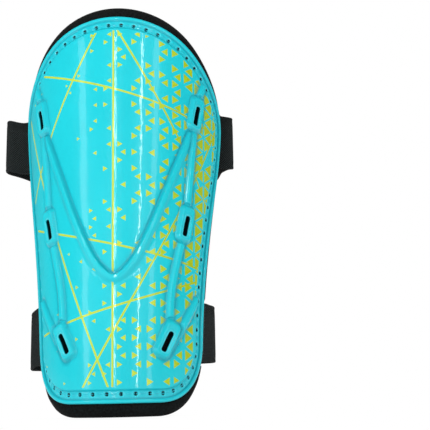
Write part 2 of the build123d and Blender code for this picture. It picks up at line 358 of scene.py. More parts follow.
def give(obj: Object, name: str, values: Points) -> None:
    """Store numbers or vectors on an object's points for its material to read.

    Args:
        obj: Object whose mesh takes them.
        name: Name of the attribute.
        values: One number or one vector for each point.
    """
    values = np.asarray(values, np.float32)
    kind, key = ("FLOAT", "value") if values.ndim == 1 else ("FLOAT_VECTOR", "vector")
    obj.data.attributes.new(name, kind, "POINT").data.foreach_set(key, values.ravel())


def loop_walls(rings: list[Points]) -> list[tuple[int, int, int, int]]:
    """Faces between closed loops, each joined to the next, with as many points each.

    Args:
        rings: Point numbers of each loop, in order.

    Returns:
        One four-sided face for each step round each pair of loops.
    """
    walls = []
    for near, far in zip(rings, rings[1:]):
        walls += zip(near, np.roll(near, -1), np.roll(far, -1), far)
    return walls


# ---------------------------------------------------------------- materials
def linear(colour: str) -> Ramp:
    """Turn an sRGB hex colour such as #2fd8e8 to a shader's linear red, green, blue and alpha."""
    parts = [int(colour[i : i + 2], 16) / 255 for i in (1, 3, 5)]
    return (*((c / 12.92 if c <= 0.04045 else ((c + 0.055) / 1.055) ** 2.4) for c in parts), 1.0)


def add(tree: Tree, kind: str, inputs: dict | None = None, **settings) -> bpy.types.Node:
    """Add a node with its settings and links.

    Args:
        tree: Tree that takes the node.
        kind: Blender's name for the node's type.
        inputs: Input name or number to a value, a socket, or a node whose first output is used.
        **settings: Properties of the node.

    Returns:
        The new node.
    """
    node = tree.nodes.new(kind)
    for name, value in settings.items():
        setattr(node, name, value)
    for key, value in (inputs or {}).items():
        if isinstance(value, bpy.types.Node):
            value = value.outputs[0]
        if isinstance(value, bpy.types.NodeSocket):
            tree.links.new(value, node.inputs[key])
        else:
            node.inputs[key].default_value = value
    return node


def new_material(name: str) -> tuple[Material, Tree, bpy.types.NodeSocket]:
    """Start a material with an empty node tree.

    Args:
        name: Name of the material.

    Returns:
        The material, its node tree, and the place on the object that its patterns read.
    """
    material = bpy.data.materials.new(name)
    material.use_nodes = True
    tree = material.node_tree
    tree.nodes.clear()
    return material, tree, add(tree, "ShaderNodeTexCoord").outputs["Object"]


def finish_material(tree: Tree, inputs: dict) -> None:
    """Close a material with a principled shader that has the inputs given by name."""
    shader = add(tree, "ShaderNodeBsdfPrincipled", inputs)
    add(tree, "ShaderNodeOutputMaterial", {"Surface": shader})


@dataclass(frozen=True)
class PrintedLattice:
    """Printed decoration: triangles on a lattice that grow towards one flank, and straight accent lines.

    Attributes:
        side: Side of one lattice triangle.
        edge_blur: Softness of a triangle's edge, as a share of its height.
        sizes: Where growth starts and ends across the shell, and a triangle's share of its cell there.
        crowding: The same for what is added to that share near the flank.
        kept: The same for the share of cells that carry a triangle.
        line_width: Width of an accent line.
        line_blur: Softness of its edge.
        bare_blur: Softness of the edge of an unprinted place.
        lines: A place (s, z) on each accent line, and its heading in degrees.
    """

    side: float = 9.0
    edge_blur: float = 0.03
    sizes: Ramp = (-34.0, 36.0, 0.16, 0.56)
    crowding: Ramp = (34.0, 46.0, 0.0, 0.22)
    kept: Ramp = (-30.0, 44.0, 0.12, 0.97)
    line_width: float = 1.1
    line_blur: float = 0.1
    bare_blur: float = 0.15
    lines: tuple[Triple, ...] = (
        (-0.6, 0.0, 90.0),
        (2.0, 96.0, -60.0),
        (-40.0, 75.0, -17.0),
        (60.0, 36.0, 60.0),
        (-9.0, 99.0, 62.0),
        (-48.0, -12.0, -13.0),
        (-46.0, 10.0, -68.0),
        (30.0, -47.0, 16.0),
    )

    def triangles(self, tree: Tree, place: bpy.types.NodeSocket) -> bpy.types.Node:
        """Build the nodes of the triangles.

        Args:
            tree: The shell material's node tree.
            place: Flat place on the shell.

        Returns:
            A node whose first output is 1 inside a triangle.
        """
        width = self.side * math.sqrt(0.75)
        shares, cells = [], []
        for turn in (0, 120, 240):
            way = (math.cos(math.radians(turn)) / width, math.sin(math.radians(turn)) / width, 0)
            across = add(tree, "ShaderNodeVectorMath", {0: place, 1: way}, operation="DOT_PRODUCT")
            shares.append(add(tree, "ShaderNodeMath", {0: across.outputs["Value"]}, operation="FRACT"))
            cells.append(add(tree, "ShaderNodeMath", {0: across.outputs["Value"]}, operation="FLOOR"))
        # The three shares add up to 1 in a triangle that points up, and to 2 in one that points down.
        flipped = shares[0]
        for operation, value in (("ADD", shares[1]), ("ADD", shares[2]), ("GREATER_THAN", 1.5)):
            flipped = add(tree, "ShaderNodeMath", {0: flipped, 1: value}, operation=operation)
        corners = []
        for share in shares:
            other = add(tree, "ShaderNodeMath", {0: 1.0, 1: share}, operation="SUBTRACT")
            corners.append(add(tree, "ShaderNodeMix", {0: flipped, 2: share, 3: other}))
        nearest = corners[0]
        for corner in corners[1:]:
            nearest = add(tree, "ShaderNodeMath", {0: nearest, 1: corner}, operation="MINIMUM")
        cell = add(tree, "ShaderNodeCombineXYZ", dict(enumerate(cells)))
        chance = add(tree, "ShaderNodeTexWhiteNoise", {"Vector": cell}, noise_dimensions="3D")
        column = add(tree, "ShaderNodeMath", {0: cells[0], 1: width}, operation="MULTIPLY")
        size, crowd, kept = (
            add(tree, "ShaderNodeMapRange", {"Value": column, **dict(enumerate(ramp, 1))})
            for ramp in (self.sizes, self.crowding, self.kept)
        )
        size = add(tree, "ShaderNodeMath", {0: size, 1: crowd}, operation="ADD")
        shown = add(tree, "ShaderNodeMath", {0: chance.outputs["Value"], 1: kept}, operation="LESS_THAN")
        margin = add(tree, "ShaderNodeMath", {0: 1.0, 1: size}, operation="SUBTRACT")
        margin = add(tree, "ShaderNodeMath", {0: margin, 1: 3.0}, operation="DIVIDE")
        depth = add(tree, "ShaderNodeMath", {0: nearest, 1: margin}, operation="SUBTRACT")
        blur = self.edge_blur / 2
        ink = add(tree, "ShaderNodeMapRange", {"Value": depth, 1: -blur, 2: blur})
        return add(tree, "ShaderNodeMath", {0: ink, 1: shown}, operation="MULTIPLY")

    def mask(self, tree: Tree) -> bpy.types.Node:
        """Build the nodes that say where there is ink.

        Args:
            tree: The shell material's node tree.

        Returns:
            A node whose first output is 1 on ink and 0 on bare plastic.
        """
        place = add(tree, "ShaderNodeAttribute", attribute_name="flat").outputs["Vector"]
        ink = self.triangles(tree, place)
        half = self.line_width / 2
        for s, z, turn in self.lines:
            way = (-math.sin(math.radians(turn)), math.cos(math.radians(turn)), 0)
            away = add(tree, "ShaderNodeVectorMath", {0: place, 1: way}, operation="DOT_PRODUCT")
            away = away.outputs["Value"]
            for operation, value in (("SUBTRACT", s * way[0] + z * way[1]), ("ABSOLUTE", 0.0)):
                away = add(tree, "ShaderNodeMath", {0: away, 1: value}, operation=operation)
            edge = {"Value": away, 1: half + self.line_blur, 2: half - self.line_blur}
            line = add(tree, "ShaderNodeMapRange", edge)
            ink = add(tree, "ShaderNodeMath", {0: ink, 1: line}, operation="MAXIMUM")
        bare = add(tree, "ShaderNodeAttribute", attribute_name="bare").outputs["Fac"]
        edge = {"Value": bare, 1: self.bare_blur, 2: -self.bare_blur}
        printed = add(tree, "ShaderNodeMapRange", edge)
        return add(tree, "ShaderNodeMath", {0: ink, 1: printed}, operation="MULTIPLY")


@dataclass(frozen=True)
class MouldedPolypropylene:
    """Injection-moulded polypropylene with a pad-printed lattice under a clear lacquer.

    It gives a bright, even colour with faint clouds, and a gloss whose reflections have ragged edges. Its
    colour also carries painted light: painted shade in the creases, at the holes and slots and on the ink of
    the right flank, and painted highlights round the holes and slots.

    Attributes:
        plastic: Colour of the plastic.
        rim: Colour of its clouds.
        crease: Colour of the painted shade down in the creases.
        painted_highlight: Colour of the painted highlights that ring the slots and holes.
        painted_hole_shade: Colour of the painted shade in and round the slots and holes.
        ink: Colour of the ink at the front.
        ink_shaded: Colour of the ink under painted shade, where the shell turns away on the right.
        crease_shade_share: How far the painted shade of the creases takes on its colour.
        flank: Where across the shell the ink's painted shade starts and ends.
        cloud_scale: Scale of clouds about 36 mm wide.
        peel_scale: Scale of a skin texture about 2.4 mm wide.
        lacquer_scale: Scale of the lacquer's waves, about 3 mm wide.
        decoration: What is printed on it.
    """

    plastic: str = "#05c6d4"
    rim: str = "#12d2de"
    crease: str = "#0391a6"
    painted_highlight: str = "#6fe2ee"
    painted_hole_shade: str = "#03161a"
    ink: str = "#c4da3c"
    ink_shaded: str = "#acc100"
    crease_shade_share: float = 0.7
    flank: Pair = (6.0, 46.0)
    cloud_scale: float = 28.0
    peel_scale: float = 420.0
    lacquer_scale: float = 330.0
    decoration: PrintedLattice = PrintedLattice()

    def build(self) -> Material:
        """Build the material. Returns it."""
        material, tree, place = new_material("moulded_polypropylene")
        flat, painted_highlight, crease, hole_shade = (
            add(tree, "ShaderNodeAttribute", attribute_name=name).outputs[output]
            for name, output in (("flat", "Vector"), ("painted_highlight", "Fac"), ("crease", "Fac"), ("hole_shade", "Fac"))
        )
        cloud, speck, peel = (
            add(tree, "ShaderNodeTexNoise", {"Vector": place, "Scale": scale, "Detail": detail})
            for scale, detail in ((self.cloud_scale, 3.0), (self.peel_scale, 2.0), (self.peel_scale, 1.0))
        )
        across = add(tree, "ShaderNodeSeparateXYZ", {0: flat})
        # Painted shade: the ink darkens towards the right flank, with a speckled edge.
        flank = add(tree, "ShaderNodeMapRange", {"Value": across, 1: self.flank[0], 2: self.flank[1]})
        flank = add(tree, "ShaderNodeMath", {0: flank, 1: speck}, operation="ADD")
        flank = add(tree, "ShaderNodeMath", {0: flank, 1: 0.5}, operation="SUBTRACT", use_clamp=True)
        inks = {0: flank, 6: linear(self.ink), 7: linear(self.ink_shaded)}
        inks = add(tree, "ShaderNodeMix", inks, data_type="RGBA").outputs[2]
        # Painted shade: the creases are darkened towards a dark teal.
        crease_shaded = add(tree, "ShaderNodeMath", {0: crease, 1: self.crease_shade_share}, operation="MULTIPLY")
        # Painted shade: the rims of the stitch holes and the walls of the slots are darkened.
        painted_hole_shade = add(tree, "ShaderNodeMapRange", {"Value": hole_shade, 1: 0.0, 2: 0.18})
        colour = linear(self.plastic)
        for share, tint in (
            (cloud, linear(self.rim)),
            # painted highlights round the slots and holes
            (painted_highlight, linear(self.painted_highlight)),
            (self.decoration.mask(tree), inks),
            (crease_shaded, linear(self.crease)),
            (painted_hole_shade, linear(self.painted_hole_shade)),
        ):
            mixed = add(tree, "ShaderNodeMix", {0: share, 6: colour, 7: tint}, data_type="RGBA")
            colour = mixed.outputs[2]
        bump = add(tree, "ShaderNodeBump", {"Height": peel, "Distance": 0.00014, "Strength": 0.7})
        # The lacquer has run down a little before it set, which leaves the edges of reflections ragged.
        runs = add(tree, "ShaderNodeVectorMath", {0: place, 1: (1.0, 1.0, 0.3)}, operation="MULTIPLY")
        waves = {"Vector": runs, "Scale": self.lacquer_scale, "Detail": 2.0}
        lacquer = add(tree, "ShaderNodeTexNoise", waves)
        skin = add(tree, "ShaderNodeBump", {"Height": lacquer, "Distance": 0.00007, "Strength": 0.8})
        rough = add(tree, "ShaderNodeMapRange", {"Value": cloud, 3: 0.24, 4: 0.36})
        finish_material(
            tree,
            {
                "Base Color": colour,
                "Roughness": rough,
                "IOR": 1.49,
                "Specular IOR Level": 0.35,
                "Coat Weight": 0.6,
                "Coat Roughness": 0.05,
                "Coat Normal": skin,
                "Normal": bump,
            },
        )
        return material


@dataclass(frozen=True)
class KnitFacedFoam:
    """EVA foam with a thin brushed knit laminated to it: a dark, matt face with a faint nap.

    Attributes:
        light: Colour on top of the nap.
        dark: Colour down in the nap.
        loop: Size of the knit's loops, drawn about twice as coarse as real ones so that they show.
        cloud_scale: Scale of clouds about 22 mm wide, where the nap lies another way.
    """

    light: str = "#171a1a"
    dark: str = "#070808"
    loop: float = 0.9
    cloud_scale: float = 45.0

    def build(self, name: str) -> Material:
        """Build the material.

        Args:
            name: Name of the material.

        Returns:
            The material.
        """
        material, tree, place = new_material(name)
        nap, cloud = (
            add(tree, "ShaderNodeTexNoise", {"Vector": place, "Scale": scale, "Detail": detail})
            for scale, detail in ((1 / (self.loop * MM), 4.0), (self.cloud_scale, 3.0))
        )
        mixed = add(tree, "ShaderNodeMix", {0: 0.25, 2: nap, 3: cloud})
        spread = add(tree, "ShaderNodeMapRange", {"Value": mixed, 1: 0.36, 2: 0.62})
        tints = {0: spread, 6: linear(self.dark), 7: linear(self.light)}
        colour = add(tree, "ShaderNodeMix", tints, data_type="RGBA")
        bump = add(tree, "ShaderNodeBump", {"Height": nap, "Distance": 0.0003, "Strength": 0.6})
        finish_material(
            tree,
            {
                "Base Color": colour.outputs[2],
                "Roughness": 0.9,
                "Specular IOR Level": 0.14,
                "Sheen Weight": 0.03,
                "Sheen Roughness": 0.5,
                "Normal": bump,
            },
        )
        return material


@dataclass(frozen=True)
class WovenElastic:
    """Woven elastic webbing: matt twill ribs that lean one way and turn back near the selvedges.

    Attributes:
        light: Colour on top of the ribs.
        dark: Colour between them.
        rib: Distance between ribs.
        turn_back: Distance from the middle at which the ribs turn back.
        slope: How far a rib runs along the webbing for each millimetre across it.
        pick: Distance between the cross threads, as a share of a rib's.
        fuzz_scale: Scale of loose fibres about 0.7 mm long.
    """

    light: str = "#363e3e"
    dark: str = "#030404"
    rib: float = 1.5
    turn_back: float = 10.5
    slope: float = 1.1
    pick: float = 0.55
    fuzz_scale: float = 1500.0

    def build(self) -> Material:
        """Build the material. Returns it."""
        material, tree, place = new_material("woven_elastic")
        flat = add(tree, "ShaderNodeAttribute", attribute_name="flat")
        parts = add(tree, "ShaderNodeSeparateXYZ", {0: flat.outputs["Vector"]})
        along, across = parts.outputs[0], parts.outputs[1]
        fuzz = {"Vector": place, "Scale": self.fuzz_scale, "Detail": 3.0}
        fuzz = add(tree, "ShaderNodeTexNoise", fuzz)
        fuzz = add(tree, "ShaderNodeMath", {0: fuzz, 1: 1.6}, operation="MULTIPLY")
        ribs = across
        for operation, value in (
            ("ABSOLUTE", 0.0),
            ("SUBTRACT", self.turn_back),
            ("MAXIMUM", 0.0),
            ("MULTIPLY", 2.0),
            ("ADD", across),
            ("MULTIPLY", self.slope),
            ("ADD", along),
            ("MULTIPLY", 2 * math.pi / self.rib),
            ("SINE", 0.0),
        ):
            ribs = add(tree, "ShaderNodeMath", {0: ribs, 1: value}, operation=operation)
        weave = across
        for operation, value in (
            ("MULTIPLY", 2 * math.pi / (self.pick * self.rib)),
            ("SINE", 0.0),
            ("MULTIPLY", 0.3),
            ("ADD", ribs),
            ("ADD", fuzz),
        ):
            weave = add(tree, "ShaderNodeMath", {0: weave, 1: value}, operation=operation)
        shade = add(tree, "ShaderNodeMapRange", {"Value": weave, 1: 0.0, 2: 2.3})
        tints = {0: shade, 6: linear(self.dark), 7: linear(self.light)}
        colour = add(tree, "ShaderNodeMix", tints, data_type="RGBA")
        bump = add(tree, "ShaderNodeBump", {"Height": weave, "Distance": 0.00022, "Strength": 0.9})
        finish_material(
            tree,
            {
                "Base Color": colour.outputs[2],
                "Roughness": 0.75,
                "Specular IOR Level": 0.09,
                "Sheen Weight": 0.02,
                "Sheen Roughness": 0.45,
                "Normal": bump,
            },
        )
        return material


@dataclass(frozen=True)
class SewingThread:
    """Bonded polyester sewing thread: a soft sheen along twisted plies.

    Attributes:
        name: Name of the material.
        colour: Colour on top of the plies.
        shade: Colour between them.
        twist_scale: Scale of plies about 0.45 mm wide, a little coarser than real ones so that they show.
    """

    name: str
    colour: str
    shade: str
    twist_scale: float = 2200.0

    def build(self) -> Material:
        """Build the material. Returns it."""
        material, tree, place = new_material(self.name)
        twist = {"Vector": place, "Scale": self.twist_scale, "Detail": 2.0}
        twist = add(tree, "ShaderNodeTexNoise", twist)
        tints = {0: twist, 6: linear(self.shade), 7: linear(self.colour)}
        colour = add(tree, "ShaderNodeMix", tints, data_type="RGBA").outputs[2]
        bump = add(tree, "ShaderNodeBump", {"Height": twist, "Distance": 0.0001, "Strength": 0.7})
        looks = {"Base Color": colour, "Roughness": 0.55, "Sheen Weight": 0.15, "Normal": bump}
        finish_material(tree, looks)
        return material


@dataclass(frozen=True)
class FasteningTape:
    """Nylon hook or loop tape: a dark, dull base under a fine pile.

    Attributes:
        name: Name of the material.
        colour: Colour between the pile's roots.
        shade: Colour at its roots.
        root_scale: Scale of roots about 1.1 mm apart.
    """

    name: str
    colour: str
    shade: str
    root_scale: float = 900.0

    def build(self) -> Material:
        """Build the material. Returns it."""
        material, tree, place = new_material(self.name)
        pile = add(tree, "ShaderNodeTexVoronoi", {"Vector": place, "Scale": self.root_scale})
        tints = {0: pile, 6: linear(self.colour), 7: linear(self.shade)}
        colour = add(tree, "ShaderNodeMix", tints, data_type="RGBA").outputs[2]
        bump = add(tree, "ShaderNodeBump", {"Height": pile, "Distance": 0.0003, "Strength": 0.8})
        looks = {"Base Color": colour, "Roughness": 0.7, "Sheen Weight": 0.3, "Normal": bump}
        finish_material(tree, looks)
        return material


# ---------------------------------------------------------------- repeats by Geometry Nodes
PATH = ("Start", "Start Handle", "End Handle", "End")


def strand_tree() -> Tree:
    """Build the node tree that lays one swept strand on every point of a mesh.

    The points carry the attributes "way", along the strand, and "out", away from the surface.

    Returns:
        The tree, with named inputs for the strand's shape.
    """
    tree = bpy.data.node_groups.new("swept_strands", "GeometryNodeTree")
    kinds = {"Geometry": "Geometry", **dict.fromkeys(PATH, "Vector")}
    kinds |= {"Radius": "Float", "Steps": "Int", "Sides": "Int", "Material": "Material"}
    for name, kind in kinds.items():
        tree.interface.new_socket(name, in_out="INPUT", socket_type=f"NodeSocket{kind}")
    tree.interface.new_socket("Geometry", in_out="OUTPUT", socket_type="NodeSocketGeometry")
    given = add(tree, "NodeGroupInput").outputs
    shape = {"Resolution": given["Steps"], **{name: given[name] for name in PATH}}
    path = add(tree, "GeometryNodeCurvePrimitiveBezierSegment", shape)
    shape = {"Resolution": given["Sides"], "Radius": given["Radius"]}
    section = add(tree, "GeometryNodeCurvePrimitiveCircle", shape)
    shape = {"Curve": path, "Profile Curve": section, "Fill Caps": True}
    swept = add(tree, "GeometryNodeCurveToMesh", shape)
    ways = {
        index: add(tree, "GeometryNodeInputNamedAttribute", {"Name": name}, data_type="FLOAT_VECTOR")
        for index, name in enumerate(("way", "out"))
    }
    turned = add(tree, "FunctionNodeAxesToRotation", ways, primary_axis="X", secondary_axis="Z")
    laid = {"Points": given["Geometry"], "Instance": swept, "Rotation": turned}
    laid = add(tree, "GeometryNodeInstanceOnPoints", laid)
    real = add(tree, "GeometryNodeRealizeInstances", {"Geometry": laid})
    painted = add(tree, "GeometryNodeSetMaterial", {"Geometry": real, "Material": given["Material"]})
    add(tree, "NodeGroupOutput", {"Geometry": painted})
    return tree


@dataclass(frozen=True)
class Strand:
    """Shape of one repeated strand.

    Attributes:
        path: Its four Bezier points, as distances along the surface and up from it.
        width: Its thickness.
        steps: How many steps its path has.
        sides: How many sides its section has.
    """

    path: tuple[Pair, Pair, Pair, Pair]
    width: float
    steps: int = 5
    sides: int = 6

    def lay(self, name: str, spots: Points, ways: Points, outs: Points, material: Material) -> Object:
        """Lay the strand on many spots as one plain mesh.

        Args:
            name: Name of the object.
            spots: Where each strand's middle lies, in millimetres.
            ways: Direction that each strand runs.
            outs: Direction away from the surface at each.
            material: What the strands are made of.

        Returns:
            The mesh object.
        """
        carrier = make_object(f"{name}_spots", spots, [], material)
        give(carrier, "way", ways)
        give(carrier, "out", outs)
        tree = bpy.data.node_groups.get("swept_strands") or strand_tree()
        modifier = carrier.modifiers.new("strands", "NODES")
        modifier.node_group = tree
        values = {key: (along * MM, 0.0, up * MM) for key, (along, up) in zip(PATH, self.path)}
        values |= {"Radius": self.width / 2 * MM, "Steps": self.steps, "Sides": self.sides}
        values["Material"] = material
        for item in tree.interface.items_tree:
            if item.in_out == "INPUT" and item.name in values:
                modifier[item.identifier] = values[item.name]
        depsgraph = bpy.context.evaluated_depsgraph_get()
        mesh = bpy.data.meshes.new_from_object(carrier.evaluated_get(depsgraph))
        mesh.name = name
        bpy.data.objects.remove(carrier)
        return show(name, mesh)


# ---------------------------------------------------------------- the guard's form
@dataclass(frozen=True)
class Arch:
    """Leaning cone that the shell, the pad and the lining all follow.

    Attributes:
        front_y: y of the shell's outer face on the front line.
        mid_radius: Radius of that face at mid-height.
        taper: How much the radius grows for each millimetre up.
    """

    front_y: float
    mid_radius: float = 55.9
    taper: float = 0.083

    def radius(self, z: Points) -> Points:
        """Radius of the shell's outer face at each height."""
        return self.mid_radius + self.taper * z

    def place(self, spots: Points, depth: Points | float) -> Points:
        """Find points on or below the shell's outer face.

        Args:
            spots: Flat spots.
            depth: Depths below the outer face, negative above it.

        Returns:
            Points in space.
        """
        s, z = spots.T
        radius = self.radius(z)
        turn = s / radius
        swell = 1 + (math.sqrt(1 + self.taper**2) - 1) * (1 - np.cos(turn)) ** 2
        reach = (radius - depth) * swell
        return np.stack([reach * np.sin(turn), self.front_y + radius - reach * np.cos(turn), z], axis=-1)

    def out(self, spots: Points) -> Points:
        """Directions that point straight out of the arch at flat spots, as unit vectors."""
        turn = spots[:, 0] / self.radius(spots[:, 1])
        return unit(np.stack([np.sin(turn), -np.cos(turn), self.taper * (np.cos(turn) - 1)], axis=-1))


@dataclass(frozen=True)
class FlatPattern:
    """Outline of the shell as it would lie if it were unrolled.

    Attributes:
        top: Height of its top.
        crown_half_width: Half of its greatest width.
        widest: Height at which it is widest.
        low_half_width: Half of its width above the lower corners.
        low_corner: Radius of those corners.
        brow: Places that the crown's curve passes, as shares of its half width and of its height.
        waist: Place that the flank's curve passes, as shares of its narrowing and of its height.
        step: Distance between the points that the outline is first drawn with.
    """

    top: float
    crown_half_width: float = 74.6
    widest: float = 47.0
    low_half_width: float = 55.6
    low_corner: float = 30.0
    brow: tuple[Pair, Pair] = ((0.457, 0.145), (0.786, 0.485))
    waist: Pair = (0.49, 0.406)
    step: float = 0.25

    def half(self) -> Points:
        """Right half of the outline, from the top of the front line to the bottom. Returns its points."""
        low = self.low_corner - self.top
        crown = self.top - self.widest
        wide, narrow = self.crown_half_width, self.low_half_width
        between = [(across * wide, self.top - down * crown) for across, down in self.brow]
        brow = curve_through([(0, self.top), *between, (wide, self.widest)], (1, 0), (0, -1))
        waist = narrow + self.waist[0] * (wide - narrow), self.widest - self.waist[1] * (self.widest - low)
        flank = curve_through([(wide, self.widest), waist, (narrow, low)], (0, -1), (0, -1))
        corner = self.low_corner * circle(np.linspace(0, -QUARTER, 80))
        return np.vstack([brow[:-1], flank[:-1], (narrow - self.low_corner, low) + corner, [(0, -self.top)]])

    def loop(self, inset: float, pitch: float = 1.0) -> Points:
        """Closed outline moved in from the shell's edge, or out where inset is negative.

        Args:
            inset: Distance in from the edge.
            pitch: Distance between points on the uninset outline.

        Returns:
            Points in clockwise order from the top, as many for any inset.
        """
        half = walk(self.half(), self.step)
        even = walk(np.vstack([half, half[-2:0:-1] * (-1, 1)]), pitch, closed=True)
        return even + inset * beside(unit(np.roll(even, -1, axis=0) - np.roll(even, 1, axis=0)))


@dataclass(frozen=True)
class Boss:
    """Raised boss with a scoop and a vent slot.

    Attributes:
        s: Place of its centre round the arch.
        z: Height of its centre.
        lean: Its lean in degrees.
        size: Width, length and corner radius.
        scoop: The same of its scoop.
        slot: The same of its vent slot.
        slot_drop: How far the slot's centre lies below the boss's centre.
    """

    s: float
    z: float
    lean: float
    size: Triple = (10.0, 20.4, 3.2)
    scoop: Triple = (6.0, 16.3, 2.4)
    slot: Triple = (3.1, 11.4, 1.2)
    slot_drop: float = 1.4

    @property
    def axes(self) -> Points:
        """Flat directions across and along the boss, one a row."""
        angle = math.radians(self.lean)
        return np.array([(math.cos(angle), math.sin(angle)), (-math.sin(angle), math.cos(angle))])

    def local(self, spots: Points) -> Points:
        """Turn flat spots to the boss's own frame, its length along the second axis, and return them."""
        return (spots - (self.s, self.z)) @ self.axes.T

    def outside(self, spots: Points, shape: Triple, drop: float = 0.0) -> Points:
        """Distance of flat spots outside a rounded rectangle on the boss, negative inside it.

        Args:
            spots: Flat spots.
            shape: Width, length and corner radius.
            drop: How far the rectangle's centre lies below the boss's centre.

        Returns:
            One distance for each spot.
        """
        width, length, corner = shape
        q = np.abs(self.local(spots) + (0, drop)) - (width / 2 - corner, length / 2 - corner)
        return np.linalg.norm(np.maximum(q, 0), axis=1) + np.minimum(q.max(axis=1), 0) - corner

    def slot_gap(self, spots: Points) -> Points:
        """Distance of flat spots outside the vent slot, negative inside it."""
        return self.outside(spots, self.slot, self.slot_drop)

    def slot_loop(self, pitch: float) -> Points:
        """Closed outline of the vent slot, as flat points a pitch apart."""
        corners = rounded_corners(*self.slot) - (0, self.slot_drop)
        return walk(corners, pitch, closed=True) @ self.axes + (self.s, self.z)


@dataclass
class Relief:
    """Height of the shell's face over the plain arch, and what its material reads.

    Attributes:
        height: Height over the plain arch.
        bare: How far a spot lies inside the unprinted places.
        painted_highlight: Share of the painted highlights' colour.
        crease: Share of the painted shade in the creases.
        hole_shade: Share of painted shade, 1 inside a hole and 0 away from it.
    """

    height: Points
    bare: Points
    painted_highlight: Points
    crease: Points
    hole_shade: Points


